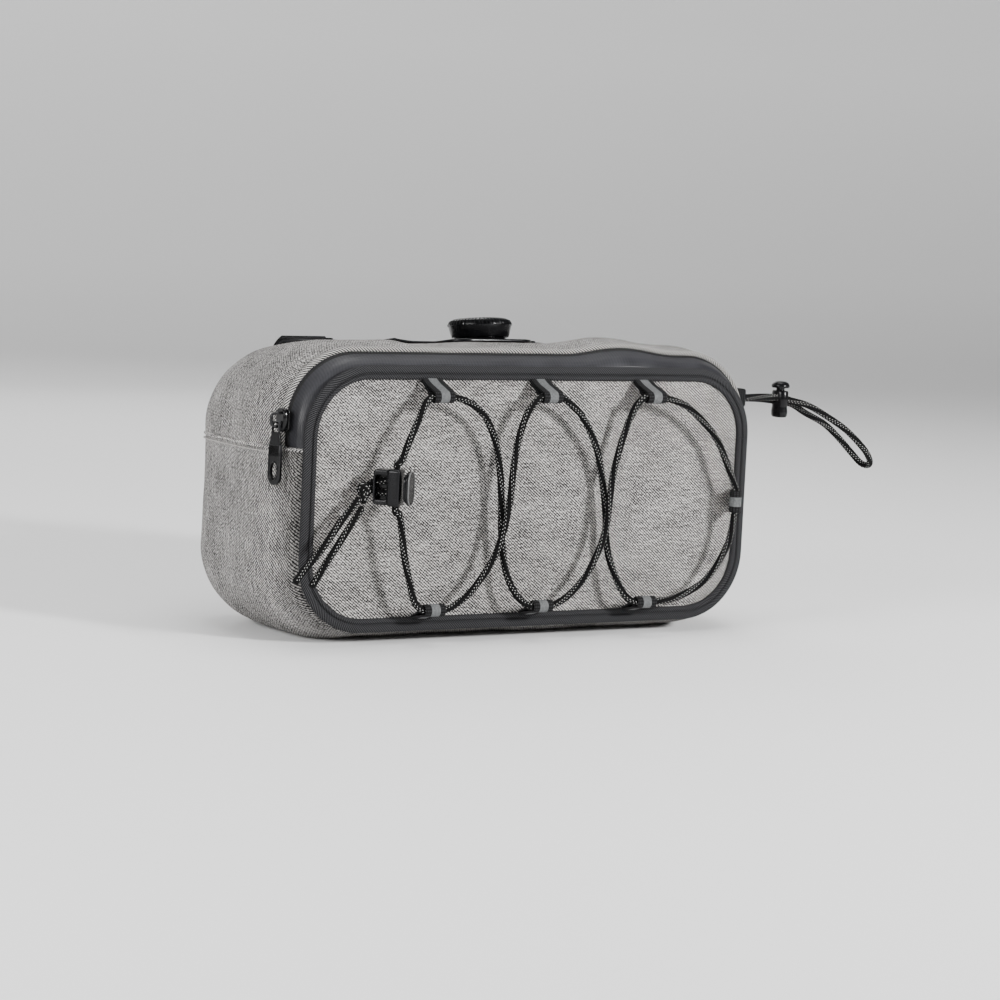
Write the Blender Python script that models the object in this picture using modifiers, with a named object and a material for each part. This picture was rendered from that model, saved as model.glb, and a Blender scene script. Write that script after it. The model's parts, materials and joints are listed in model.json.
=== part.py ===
"""A handlebar bag: a soft zipped pouch with an elastic lace, two bar straps and a rotary tensioner on its top.

Metres, +Z up. The origin is the middle of the flat base under the bag. The laced front faces -Y, the bar runs
along X behind the back panel, and left and right are as seen from the front.
"""

import math

import bmesh
import bpy
from mathutils import Matrix, Vector

# Main form
PANEL_WIDTH = 0.240
PANEL_HEIGHT = 0.120
PANEL_CORNER = 0.032
BODY_WIDTH = 0.260
TOP_BULGE = 0.0090
BOTTOM_BULGE = 0.0065
BODY_DEPTH = 0.100
BODY_CORNER = 0.036
CLOTH = 0.0020
CLEARANCE = 0.0003
PIPING_WIDTH = 0.0048
PIPING_DEPTH = 0.0028
PANEL_DOME = 0.0022
BACK_PANEL_WALL = 0.0024
BACK_PANEL_LIP = 0.0012

# Zip
SEAM_ABOVE_MIDDLE = 0.022
ZIP_BAND_WIDTH = 0.0070
COIL_RADIUS = 0.0013
SLIDER_LENGTH = 0.0105
SLIDER_WIDTH = 0.0080
COIL_SUNK = 0.4  # share of the coil's radius that lies inside the body's outline
SLIDER_WALL = 0.0020
SLIDER_ABOVE_MIDDLE = 0.0350
BAIL_LENGTH = 0.0072
BAIL_HEIGHT = 0.0048
BAIL_WIDTH = 0.0018
BAIL_WIRE = 0.0012
PULL_LENGTH = 0.0265
PULL_WIDTH = 0.0078
PULL_WALL = 0.0018
PULL_TURN = math.radians(15)
PULL_BAR = 0.0010  # height of the bar at the pull's top, whose middle the pull swings about
PULL_EYE = 0.0044
PULL_EYE_PLAY = 0.0009

# Lace, its loops and its lock
CORD_RADIUS = 0.0016
CORD_PLAY = 0.0007
LOOP_WIDTH = 0.0105
LOOP_WALL = 0.0010
LOOP_SEAT = 0.0010  # from the panel's face to the middle of a loop's sewn end
LOOP_SPACING = 0.0575
LOOP_STANDOFF = 0.0113
LOOP_REACH = {"top": 0.0067, "bottom": 0.0046, "right": 0.0072}
LOCK_LENGTH = 0.0136
LOCK_HEIGHT = 0.0160
LOCK_DEPTH = 0.0086
LOCK_CHANNEL_AT = 0.0100
LOCK_INSIDE = 0.0140
WINDOW_LENGTH = 0.0062
WINDOW_HEIGHT = 0.0100
LOCK_TURN = math.radians(45)
LOCK_TRAVEL = 0.0012
BUTTON_HEIGHT = 0.0155
BUTTON_DEPTH = 0.0100
BUTTON_WALL = 0.0018
BUTTON_NECK_RADIUS = 0.0022
KNOT_RADIUS = 0.0046
KNOT_SHAPE = (0.62, 0.90, 1.15)

# Side loop of cord and its lock
SIDE_TAB_LENGTH = 0.0046
SIDE_TAB_HEIGHT = 0.0090
SIDE_TAB_DEPTH = 0.0095
BARREL_HEIGHT = 0.0134
BARREL_WIDTH = 0.0072
BARREL_DEPTH = 0.0096
BARREL_BELOW_CORD = 0.0088
SIDE_BUTTON_RADIUS = 0.0045
SIDE_BUTTON_HEIGHT = 0.0034
SIDE_NECK_RADIUS = 0.0021
SIDE_TRAVEL = 0.0010
NECK_SEAT = 0.0004  # how far each button's neck reaches into its lock at rest

# Rotary tensioner
DIAL_RADIUS = 0.0155
DIAL_HEIGHT = 0.0072
DIAL_TEETH = 28
DIAL_TOOTH = 0.00045
DIAL_SOCKET = 0.0034
DIAL_BASE_WIDTH = 0.046
DIAL_BASE_DEPTH = 0.032
DIAL_BASE_WALL = 0.0016
COLLAR_RADIUS = 0.0122
COLLAR_HEIGHT = 0.0032
HUB_RADIUS = 0.0050
HUB_FLANGE_RADIUS = 0.0070
HUB_FLANGE_WALL = 0.0012
DIAL_LIFT = 0.0028
HUB_ENGAGED = 0.0009  # how far the hub still reaches into its bore when the dial is up
FLAP_LENGTH = 0.023
FLAP_DEPTH = 0.014
FLAP_WALL = 0.0012

# Bar straps
BAR_RADIUS = 0.0159
STRAP_WIDTH = 0.025
STRAP_WALL = 0.0020
STRAP_SPREAD = 0.116
STRAP_ABOVE_MIDDLE = 0.046
STRAP_PLAY = 0.0004

MIDDLE = PANEL_HEIGHT / 2 + BOTTOM_BULGE
FACET = (0.38, 0.72)  # the stretch of depth where the base and the top are each one flat face
BASE_Y = (FACET[0] + FACET[1]) / 2 * BODY_DEPTH
SEAM_Y = PIPING_DEPTH + CLEARANCE
ZIP_Y = SEAM_Y + ZIP_BAND_WIDTH + COIL_RADIUS
UPPER_Y = ZIP_Y + COIL_RADIUS + CLEARANCE

# How full the body is at each share of its depth: 0 is the front panel's outline, 1 the fullest outline.
FULLNESS = (
    # depth, top, side, bottom
    (0.00, -0.16, -0.15, -0.22),
    (0.03, -0.16, -0.15, -0.22),
    (0.06, 0.34, 0.20, 0.22),
    (0.12, 0.64, 0.40, 0.46),
    (0.20, 0.86, 0.66, 0.74),
    (0.28, 0.96, 0.86, 0.92),
    (0.38, 1.00, 0.98, 1.00),
    (0.55, 0.74, 1.00, 1.00),
    (0.72, 0.48, 1.00, 1.00),
    (0.82, 0.26, 0.90, 0.80),
    (0.90, -0.06, 0.60, 0.30),
    (0.96, -0.50, 0.08, -0.50),
    (1.00, -0.95, -0.62, -1.40),
)

# Waves in the cloth of the upper half: across as a share of the half width, depth as a share of the depth.
WAVES = (
    # across, depth, reach across, reach in depth, height as a share of the top's bulge
    (0.40, 0.20, 0.24, 0.34, 0.38),
    (-0.31, 0.33, 0.17, 0.22, -0.34),
    (-0.62, 0.50, 0.30, 0.40, -0.10),
    (0.72, 0.60, 0.24, 0.36, -0.18),
)

# Route of the lace over the front, in millimetres: across, behind the panel's plane, above the panel's middle.
# It starts at the lock's top, crosses itself twice, and comes back to the lock from below.
LACE_ROUTE = (
    (-79.2, -14.2, 19.0), (-75.6, -13.9, 27.5), (-70.6, -13.0, 37.2), (-67.0, -11.8, 43.9),
    (-63.2, -10.9, 47.0), (-57.5, -10.9, 47.5), (-51.9, -10.9, 47.2), (-43.2, -10.5, 44.6),
    (-34.4, -9.8, 38.4), (-27.8, -9.2, 26.6), (-24.6, -9.0, 13.2), (-22.9, -8.6, -0.7),
    (-21.3, -8.0, -19.2), (-18.4, -8.6, -34.0), (-12.6, -10.2, -45.0), (-5.6, -10.9, -49.3),
    (0.0, -10.9, -49.5), (5.6, -10.9, -49.3), (14.2, -10.6, -45.4), (24.1, -10.2, -36.0),
    (31.2, -10.4, -22.5), (34.0, -11.0, -10.7), (34.9, -11.0, 1.0), (37.2, -10.2, 15.0),
    (42.8, -9.6, 32.4), (47.0, -10.5, 43.0), (51.8, -10.9, 47.3), (57.5, -10.9, 47.5),
    (63.0, -10.9, 47.2), (77.7, -10.6, 42.2), (93.9, -10.0, 28.4), (103.0, -10.4, 12.1),
    (106.8, -10.9, 3.1), (106.9, -10.9, -2.5), (106.8, -10.9, -8.1), (103.8, -10.2, -24.2),
    (92.7, -9.8, -40.0), (76.0, -10.3, -48.0), (63.0, -10.9, -49.4), (57.5, -10.9, -49.6),
    (51.8, -10.9, -49.4), (45.4, -9.9, -44.4), (39.0, -7.6, -30.6), (36.8, -6.6, -19.0),
    (35.6, -6.4, -6.4), (33.1, -6.6, 7.8), (27.6, -7.8, 24.4), (17.4, -9.8, 39.0),
    (5.6, -10.9, 47.3), (0.0, -10.9, 47.4), (-5.6, -10.9, 47.2), (-12.0, -10.9, 40.6),
    (-16.5, -11.2, 29.3), (-19.2, -12.0, 15.5), (-20.8, -12.6, -0.4), (-23.4, -12.4, -14.2),
    (-28.0, -11.2, -28.0), (-37.6, -10.4, -41.2), (-46.0, -10.7, -47.4), (-51.9, -10.9, -49.4),
    (-57.5, -10.9, -49.6), (-63.3, -10.9, -49.2), (-68.0, -11.5, -45.0), (-71.4, -12.4, -36.0),
    (-75.0, -13.4, -25.0), (-78.6, -14.1, -7.0),
)
# Middles of the two tails' stretches, from the knot to their bare ends, in the same terms.
UPPER_TAIL_ROUTE = (
    (-96.2, -7.2, 1.4), (-105.6, -8.6, -8.6), (-112.0, -9.8, -16.4), (-118.4, -10.8, -23.4),
    (-124.6, -12.0, -29.4), (-129.4, -13.2, -34.0),
)
LOWER_TAIL_ROUTE = (
    (-95.8, -9.6, -2.4), (-102.4, -9.9, -11.6), (-107.7, -10.4, -19.0), (-112.2, -10.8, -25.2),
    (-116.6, -11.2, -31.4), (-120.4, -11.8, -36.4),
)
# Route of the side loop from its tab out to the tip and back: across from the body's right side, then the same.
SIDE_ROUTE = (
    (3.8, 24.4, 44.6), (16.0, 24.4, 45.0), (27.6, 24.4, 44.4), (33.0, 24.0, 43.2),
    (43.1, 22.5, 40.6), (54.0, 20.8, 35.2), (65.6, 19.8, 28.4), (77.2, 20.4, 19.5),
    (83.6, 22.8, 13.4), (86.0, 26.6, 10.2), (84.4, 30.8, 10.8), (79.3, 33.0, 16.3),
    (69.8, 33.0, 24.5), (59.6, 31.5, 31.1), (46.2, 29.3, 36.5), (36.5, 28.2, 41.0),
    (27.6, 27.9, 42.4), (16.0, 27.9, 43.6), (3.8, 27.9, 43.8),
)
# Each strand's run through the lock, from beside the knot to clear of the lock's end: along it and off its middle.
LOCK_STRAND = ((-0.9, 1.9), (2.0, 2.3), (5.2, 2.8), (8.2, 4.2), (9.8, 7.0), (10.0, 11.0))
LACE_POINTS = 84
TURN_LENGTH = 0.012  # a radian of bend takes as many of a cord's points as this length of straight cord
TAIL_POINTS = 10
SIDE_POINTS = 40

# Where the lock starts, beside the knot, and where the knot sits, in the routes' terms
LOCK_FOOT = (-88.0, -6.6, 7.0)
KNOT_AT = (-93.4, -6.6, 4.6)

CORNER_STEPS = 7
SIDE_STEPS = 3
SPAN_STEPS = 8
ROUND_STEPS = 24
FINE_STEPS = 2000


def clear_scene():
    for item in list(bpy.data.objects):
        bpy.data.objects.remove(item, do_unlink=True)


def new_collection(name, hidden=False):
    made = bpy.data.collections.new(name)
    made.hide_render = hidden
    bpy.context.scene.collection.children.link(made)
    return made


def material(name, colour, roughness, metallic=0.0):
    made = bpy.data.materials.new(name)
    made.use_nodes = True
    shader = made.node_tree.nodes["Principled BSDF"]
    shader.inputs["Base Color"].default_value = (*colour, 1.0)
    shader.inputs["Roughness"].default_value = roughness
    shader.inputs["Metallic"].default_value = metallic
    return made


clear_scene()
PARTS = new_collection("handlebar_bag")
CUTTERS = new_collection("cutters", hidden=True)
HEATHER = material("heather_cloth", (0.27, 0.26, 0.255), 0.95)
PIPING = material("piping_twill", (0.035, 0.035, 0.037), 0.85)
BAND = material("coated_band", (0.055, 0.053, 0.058), 0.55)
WEBBING = material("webbing", (0.018, 0.018, 0.018), 0.85)
CORD = material("elastic_cord", (0.015, 0.015, 0.015), 0.8)
PLASTIC = material("black_plastic", (0.012, 0.012, 0.013), 0.3)
ZIP_METAL = material("black_zip_metal", (0.015, 0.015, 0.016), 0.25, 0.8)


def add_object(name, data, finish, parent=None):
    made = bpy.data.objects.new(name, data)
    data.materials.append(finish)
    PARTS.objects.link(made)
    made.parent = parent
    return made


def from_bmesh(name, shape, finish, parent=None):
    """A mesh object from a closed bmesh, with its faces turned out and round sides shaded smooth."""
    bmesh.ops.recalc_face_normals(shape, faces=shape.faces)
    mesh = bpy.data.meshes.new(name)
    shape.to_mesh(mesh)
    shape.free()
    mesh.shade_smooth()
    mesh.set_sharp_from_angle(angle=math.radians(40))
    return add_object(name, mesh, finish, parent)


def pivot(name, at, rotation=None):
    """An empty that carries pieces whose own directions are tilted."""
    made = bpy.data.objects.new(name, None)
    made.matrix_world = Matrix.Translation(at) @ (rotation or Matrix.Identity(4))
    PARTS.objects.link(made)
    return made


def cutter(made):
    """Turns a mesh object into a hidden cutter."""
    PARTS.objects.unlink(made)
    CUTTERS.objects.link(made)
    made.hide_render = True
    made.display_type = "WIRE"
    return made


def boolean(target, other, operation):
    step = target.modifiers.new(operation.lower(), "BOOLEAN")
    step.operation = operation
    step.object = cutter(other)
    return target


def as_mesh(made):
    """Replaces a curve object by its welded mesh, so that it can be cut or joined."""
    graph = bpy.context.evaluated_depsgraph_get()
    mesh = bpy.data.meshes.new_from_object(made.evaluated_get(graph))
    shape = bmesh.new()
    shape.from_mesh(mesh)
    bmesh.ops.remove_doubles(shape, verts=shape.verts, dist=1e-6)
    bmesh.ops.recalc_face_normals(shape, faces=shape.faces)
    shape.to_mesh(mesh)
    shape.free()
    name, parent, finish = made.name, made.parent, made.data.materials[0]
    matrix = made.matrix_world.copy()
    bpy.data.objects.remove(made, do_unlink=True)
    mesh.materials.clear()
    solid = add_object(name, mesh, finish, parent)
    solid.matrix_world = matrix
    return solid


def loft(rings, closed_ring=False):
    """A bmesh surface through rings of equally many points, with quads between neighbours."""
    shape = bmesh.new()
    rows = [[shape.verts.new(point) for point in ring] for ring in rings]
    count = len(rows[0])
    for lower, upper in zip(rows, rows[1:]):
        for i in range(count if closed_ring else count - 1):
            j = (i + 1) % count
            shape.faces.new((lower[i], lower[j], upper[j], upper[i]))
    return shape, rows


def capped_loft(name, rings, finish, parent=None):
    """A solid through closed rings, with a flat cap at each end."""
    shape, rows = loft(rings, closed_ring=True)
    shape.faces.new(list(reversed(rows[0])))
    shape.faces.new(rows[-1])
    return from_bmesh(name, shape, finish, parent)


def cloth_shell(name, rings, wall, finish, inward):
    """A cloth surface given its wall on its inner side. The point `inward` lies on that side."""
    shape, rows = loft(rings)
    shape.normal_update()
    face = list(shape.faces)[len(shape.faces) // 2]
    if face.normal.dot(Vector(inward) - face.calc_center_median()) > 0:
        bmesh.ops.reverse_faces(shape, faces=shape.faces)
    mesh = bpy.data.meshes.new(name)
    shape.to_mesh(mesh)
    shape.free()
    mesh.shade_smooth()
    made = add_object(name, mesh, finish)
    skin = made.modifiers.new("wall", "SOLIDIFY")
    skin.thickness = wall
    skin.offset = -1.0
    skin.use_even_offset = True
    return made


def outline_prism(name, outlines, thickness, finish, parent=None):
    """Flat closed outlines in local XY, the later ones holes in the first, extruded evenly about z = 0."""
    data = bpy.data.curves.new(name, "CURVE")
    data.dimensions = "2D"
    data.fill_mode = "BOTH"
    data.extrude = thickness / 2
    for outline in outlines:
        spline = data.splines.new("POLY")
        spline.points.add(len(outline) - 1)
        for point, (x, y) in zip(spline.points, outline):
            point.co = (x, y, 0.0, 1.0)
        spline.use_cyclic_u = True
    return add_object(name, data, finish, parent)


def tube(name, points, radius, finish, cyclic=False, sides_level=2):
    """A round cord along the points."""
    data = bpy.data.curves.new(name, "CURVE")
    data.dimensions = "3D"
    data.bevel_depth = radius
    data.bevel_resolution = sides_level
    data.use_fill_caps = not cyclic
    spline = data.splines.new("POLY")
    spline.points.add(len(points) - 1)
    for point, place in zip(spline.points, points):
        point.co = (*place, 1.0)
    spline.use_cyclic_u = cyclic
    return add_object(name, data, finish)


def box(name, low, high, finish, bevel=0.0, parent=None):
    """A box between two corners, with its edges rounded."""
    shape = bmesh.new()
    bmesh.ops.create_cube(shape, size=1.0)
    low, high = Vector(low), Vector(high)
    size = high - low
    bmesh.ops.scale(shape, vec=size, verts=shape.verts)
    bmesh.ops.translate(shape, vec=(low + high) / 2, verts=shape.verts)
    if bevel:
        bmesh.ops.bevel(shape, geom=shape.edges, offset=bevel, segments=2, profile=0.5, affect="EDGES")
    return from_bmesh(name, shape, finish, parent)


def cylinder(name, radius, low, high, finish, parent=None, stretch=1.0, sides=ROUND_STEPS):
    """An upright cylinder between two heights, widened along its Y by `stretch`."""
    shape = bmesh.new()
    bmesh.ops.create_cone(
        shape, cap_ends=True, segments=sides, radius1=radius, radius2=radius, depth=high - low
    )
    bmesh.ops.scale(shape, vec=(1.0, stretch, 1.0), verts=shape.verts)
    bmesh.ops.translate(shape, vec=(0, 0, (low + high) / 2), verts=shape.verts)
    return from_bmesh(name, shape, finish, parent)


def turned(name, profile, finish, parent=None, steps=ROUND_STEPS):
    """A turned piece. The profile lists radius and height down the outer side, from the axis to the axis."""
    mesh = bpy.data.meshes.new(name)
    points = [(radius, 0.0, height) for radius, height in profile]
    mesh.from_pydata(points, [(i, i + 1) for i in range(len(points) - 1)], [])
    made = add_object(name, mesh, finish, parent)
    turn = made.modifiers.new("turn", "SCREW")
    turn.steps = turn.render_steps = steps
    turn.use_merge_vertices = True
    turn.merge_threshold = 0.00001
    return made


def catmull(points, share):
    """The place at a share of a smooth curve through the points."""
    count = len(points) - 1
    at = min(share * count, count - 1e-9)
    i = int(at)
    t = at - i
    a, b, c, d = (Vector(points[min(max(k, 0), count)]) for k in (i - 1, i, i + 1, i + 2))
    bend, twist = 2 * a - 5 * b + 4 * c - d, 3 * b - a - 3 * c + d
    return 0.5 * (2 * b + (c - a) * t + bend * t**2 + twist * t**3)


def placed(point_mm):
    """A route's point, given in millimetres from the panel's middle, as a place in metres above the base."""
    return Vector(point_mm) / 1000 + Vector((0, 0, MIDDLE))


def side_route():
    """The side loop's route in the lace's terms."""
    return [Vector(point) + Vector((BODY_WIDTH / 2 * 1000, 0, 0)) for point in SIDE_ROUTE]


def route(points_mm, count):
    """Places along a smooth curve through a route's points, closer together where it bends."""
    fine = [placed(catmull(points_mm, i / FINE_STEPS)) for i in range(FINE_STEPS + 1)]
    run = [0.0]
    for before, a, b in zip([fine[0]] + fine, fine, fine[1:]):
        turn = (b - a).angle(a - before) if a != before else 0.0
        run.append(run[-1] + (b - a).length + TURN_LENGTH * turn)
    places, k = [], 0
    for i in range(count):
        want = run[-1] * i / (count - 1)
        while k < len(run) - 2 and run[k + 1] < want:
            k += 1
        part = (want - run[k]) / max(run[k + 1] - run[k], 1e-12)
        places.append(fine[k].lerp(fine[k + 1], min(part, 1.0)))
    return places


def fullness(y):
    """Top, side and bottom fullness at a depth."""
    share = min(max(y / BODY_DEPTH, 0.0), 1.0)
    for low, high in zip(FULLNESS, FULLNESS[1:]):
        if share <= high[0]:
            t = (share - low[0]) / (high[0] - low[0])
            return [low[k] + (high[k] - low[k]) * t for k in (1, 2, 3)]
    return list(FULLNESS[-1][1:])


def section(y):
    """Half width, reach above and below the middle, and corner radius of the body at a depth."""
    top, side, bottom = fullness(y)
    half_width = PANEL_WIDTH / 2 + side * (BODY_WIDTH - PANEL_WIDTH) / 2
    above = PANEL_HEIGHT / 2 + top * TOP_BULGE
    below = PANEL_HEIGHT / 2 + bottom * BOTTOM_BULGE
    corner = min(PANEL_CORNER + side * (BODY_CORNER - PANEL_CORNER), above - SEAM_ABOVE_MIDDLE - CLOTH)
    return half_width, above, below, corner


def wave(x, y):
    """How far the waves lift the cloth of the upper half at a place."""
    lift = 0.0
    for across, depth, reach_x, reach_y, height in WAVES:
        away_x = (x / (BODY_WIDTH / 2) - across) / reach_x
        away_y = (y / BODY_DEPTH - depth) / reach_y
        near = max(1.0 - away_x**2 - away_y**2, 0.0)
        lift += height * TOP_BULGE * near**2
    return lift


def arch(y, upper, proud=0.0):
    """The body's outline at a depth, from the left seam round to the right seam, as points."""
    half_width, above, below, corner = section(y)
    half_width += proud
    side = 1.0 if upper else -1.0
    reach = (above if upper else below) + proud
    start = SEAM_ABOVE_MIDDLE + side * CLEARANCE / 2
    turn_at = side * (reach - corner)
    left = [(-half_width, start + (turn_at - start) * i / SIDE_STEPS) for i in range(SIDE_STEPS)]
    for i in range(CORNER_STEPS + 1):
        angle = math.pi / 2 * i / CORNER_STEPS
        x = -(half_width - corner) - corner * math.cos(angle)
        left.append((x, side * (reach - corner + corner * math.sin(angle))))
    left += [(-(half_width - corner) * (1 - i / SPAN_STEPS), side * reach) for i in range(1, SPAN_STEPS)]
    flat = left + [(0.0, side * reach)] + [(-x, z) for x, z in reversed(left)]
    points = []
    for x, z in flat:
        lift = wave(x, y) * max(z - SEAM_ABOVE_MIDDLE, 0.0) / (above - SEAM_ABOVE_MIDDLE) if upper else 0.0
        points.append((x, y, MIDDLE + z + lift))
    return points


def depths(start, end):
    """The depths of the cloth's rings between two seams: both seams and the rows of FULLNESS between."""
    between = [row[0] * BODY_DEPTH for row in FULLNESS]
    return [start] + [y for y in between if start + 0.002 < y < end - 0.002] + [end]


def rounded_outline(half_width, half_height, corner, steps=CORNER_STEPS):
    """A rounded rectangle as (x, z) points, anticlockwise from the right-hand side."""
    points = []
    for quarter, (sx, sz) in enumerate(((1, 1), (-1, 1), (-1, -1), (1, -1))):
        for i in range(steps + 1):
            angle = math.pi / 2 * (quarter + i / steps)
            x = sx * (half_width - corner) + corner * math.cos(angle)
            z = sz * (half_height - corner) + corner * math.sin(angle)
            points.append((x, z))
    return points


def make_gussets():
    """The body's cloth: an upper arch behind the zip and a lower one that runs from the front to the back."""
    middle = (0.0, BODY_DEPTH / 2, MIDDLE)
    upper = [arch(y, True) for y in depths(UPPER_Y, BODY_DEPTH)]
    lower = [arch(y, False) for y in depths(SEAM_Y, BODY_DEPTH)]
    band = [arch(y, True) for y in depths(SEAM_Y, SEAM_Y + ZIP_BAND_WIDTH - CLEARANCE)]
    cloth_shell("gusset_upper", upper, CLOTH, HEATHER, middle)
    cloth_shell("gusset_lower", lower, CLOTH, HEATHER, middle)
    cloth_shell("zip_tape", band, CLOTH, BAND, middle)


def panel_ring(inset, corner, y, share=1.0):
    outline = rounded_outline(PANEL_WIDTH / 2 - inset, PANEL_HEIGHT / 2 - inset, corner)
    return [(x * share, y, MIDDLE + z * share) for x, z in outline]


def make_front_panel():
    """The front panel, a little domed, inside its ring of piping."""
    inset = PIPING_WIDTH + CLEARANCE
    corner = PANEL_CORNER - inset
    rings = []
    for share in (1.0, 0.86, 0.62, 0.32):
        bulge = PANEL_DOME * (1 - share**2)
        rings.append(panel_ring(inset, corner, PIPING_DEPTH / 2 - bulge, share))
    shape, rows = loft(rings, closed_ring=True)
    crown = shape.faces.new(rows[-1])
    shape.normal_update()
    if crown.normal.y > 0:
        bmesh.ops.reverse_faces(shape, faces=shape.faces)
    mesh = bpy.data.meshes.new("front_panel")
    shape.to_mesh(mesh)
    shape.free()
    mesh.shade_smooth()
    made = add_object("front_panel", mesh, HEATHER)
    skin = made.modifiers.new("wall", "SOLIDIFY")
    skin.thickness = CLOTH
    skin.offset = -1.0
    make_piping()


def make_piping():
    """The binding round the panel's edge: a rounded flat strip, bent round the panel's outline."""
    rings = []
    for i in range(8):
        angle = 2 * math.pi * i / 8
        inset = PIPING_WIDTH / 2 * (1 - math.cos(angle))
        y = PIPING_DEPTH / 2 * (1 + math.sin(angle))
        rings.append(panel_ring(inset, PANEL_CORNER - inset, y))
    shape, rows = loft(rings + rings[:1], closed_ring=True)
    bmesh.ops.remove_doubles(shape, verts=shape.verts, dist=1e-7)
    from_bmesh("piping", shape, PIPING)


def make_back_panel():
    half_width, above, below, corner = section(BODY_DEPTH)
    outline = rounded_outline(
        half_width + BACK_PANEL_LIP, (above + below) / 2 + BACK_PANEL_LIP, corner + BACK_PANEL_LIP
    )
    plate = outline_prism("back_panel", [outline], BACK_PANEL_WALL, HEATHER)
    plate.location = (0, BODY_DEPTH + CLEARANCE + BACK_PANEL_WALL / 2, MIDDLE + (above - below) / 2)
    plate.rotation_euler = (math.pi / 2, 0, 0)


def make_zip():
    """The zip's coil, and its slider near the left end with the pull hanging from the slider's bail."""
    coil = [Vector(p) for p in arch(ZIP_Y, True, proud=-COIL_RADIUS * COIL_SUNK)]
    tube("zip_coil", coil, COIL_RADIUS, ZIP_METAL)
    coil_out = section(ZIP_Y)[0] + COIL_RADIUS * (1 - COIL_SUNK)
    cloth_out = section(ZIP_Y + SLIDER_WIDTH / 2)[0]
    back = -(max(coil_out, cloth_out) + CLEARANCE)
    low, high = SLIDER_ABOVE_MIDDLE - SLIDER_LENGTH / 2, SLIDER_ABOVE_MIDDLE + SLIDER_LENGTH / 2
    body = box(
        "zip_slider",
        (back - SLIDER_WALL, ZIP_Y - SLIDER_WIDTH / 2, MIDDLE + low),
        (back, ZIP_Y + SLIDER_WIDTH / 2, MIDDLE + high),
        ZIP_METAL,
        bevel=0.0008,
    )
    half = BAIL_LENGTH / 2
    foot = -0.0006
    outer = [(foot, -half), (BAIL_HEIGHT * 0.6, -half), (BAIL_HEIGHT, -half * 0.6)]
    outer += [(BAIL_HEIGHT, half * 0.6), (BAIL_HEIGHT * 0.6, half), (foot, half)]
    bore = BAIL_HEIGHT - BAIL_WIRE
    inner = [(0.0003, -half + BAIL_WIRE), (bore, -half + BAIL_WIRE), (bore, half - BAIL_WIRE)]
    inner += [(0.0003, half - BAIL_WIRE)]
    bail = outline_prism("bail", [outer, inner], BAIL_WIDTH, ZIP_METAL)
    place = Vector((back - SLIDER_WALL, ZIP_Y, MIDDLE + SLIDER_ABOVE_MIDDLE))
    turn = Matrix(((-1, 0, 0, 0), (0, 0, 1, 0), (0, 1, 0, 0), (0, 0, 0, 1)))
    bail.matrix_world = Matrix.Translation(place) @ turn
    bpy.context.view_layer.update()
    boolean(body, as_mesh(bail), "UNION")
    swing = math.hypot(PULL_BAR, PULL_WALL) / 2
    make_pull(place + Vector((-bore / 2, 0, -half + BAIL_WIRE + swing + CLEARANCE)))


def make_pull(hinge):
    """The pull: a bar and an eye round the bail's foot, a narrow neck and a long tab with an oval hole."""
    top = PULL_BAR / 2
    half, narrow = PULL_WIDTH / 2, PULL_WIDTH * 0.33
    tip = PULL_LENGTH - top
    neck, shoulder = PULL_EYE + 0.0016, PULL_EYE + 0.0046
    outline = [(-narrow, top), (-narrow, -neck), (-half, -shoulder), (-half, -tip + half * 0.7)]
    outline += [(-half * 0.6, -tip), (half * 0.6, -tip), (half, -tip + half * 0.7), (half, -shoulder)]
    outline += [(narrow, -neck), (narrow, top)]
    eye_half = BAIL_WIDTH / 2 + PULL_EYE_PLAY
    eye = [(-eye_half, -top), (-eye_half, -PULL_EYE), (eye_half, -PULL_EYE), (eye_half, -top)]
    slot_at, slot_rx, slot_ry = -tip + 0.0068, 0.0016, 0.0034
    slot = []
    for i in range(12):
        angle = 2 * math.pi * i / 12
        slot.append((slot_rx * math.cos(angle), slot_at + slot_ry * math.sin(angle)))
    pull = outline_prism("zip_pull", [outline, eye, slot], PULL_WALL, ZIP_METAL)
    face_out = Matrix(((0, 0, -1, 0), (-1, 0, 0, 0), (0, 1, 0, 0), (0, 0, 0, 1)))
    pull.matrix_world = Matrix.Translation(hinge) @ Matrix.Rotation(PULL_TURN, 4, "Z") @ face_out


def webbing_loop(name, root, out):
    """A folded loop of webbing: sewn flat at its root, round the cord at its far end, along direction `out`."""
    root, out = Vector(root), Vector(out)
    length = out.length
    inner = CORD_RADIUS + CORD_PLAY
    outer = inner + LOOP_WALL
    profile, hole = [], []
    neck = math.asin(LOOP_WALL / outer)
    for i in range(11):
        angle = (math.pi - neck) * (1 - 2 * i / 10)
        profile.append((length + outer * math.cos(angle), outer * math.sin(angle)))
    profile += [(0.0, -LOOP_WALL), (0.0, LOOP_WALL)]
    for i in range(10):
        angle = 2 * math.pi * i / 10
        hole.append((length + inner * math.cos(angle), inner * math.sin(angle)))
    loop = outline_prism(name, [profile, hole], LOOP_WIDTH, WEBBING)
    along = out.normalized()
    across = Vector((0, 1, 0)).cross(along).normalized()
    normal = along.cross(across)
    basis = Matrix((along, normal, across)).transposed().to_4x4()
    loop.matrix_world = Matrix.Translation(root) @ basis


def make_loops():
    """Webbing loops along the panel's top and bottom edges and one at its right edge."""
    edge = PIPING_WIDTH + CLEARANCE + LOOP_WALL * 0.8
    y = PIPING_DEPTH / 2 - LOOP_SEAT
    for side, row in ((1, "top"), (-1, "bottom")):
        z = MIDDLE + side * (PANEL_HEIGHT / 2 - edge)
        for i in range(3):
            x = (i - 1) * LOOP_SPACING
            webbing_loop(f"loop_{row}_{i + 1}", (x, y, z), (0, -LOOP_STANDOFF, -side * LOOP_REACH[row]))
    x = PANEL_WIDTH / 2 - edge
    webbing_loop("loop_right", (x, y, MIDDLE - 0.0025), (-LOOP_REACH["right"], -LOOP_STANDOFF, 0))


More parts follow.
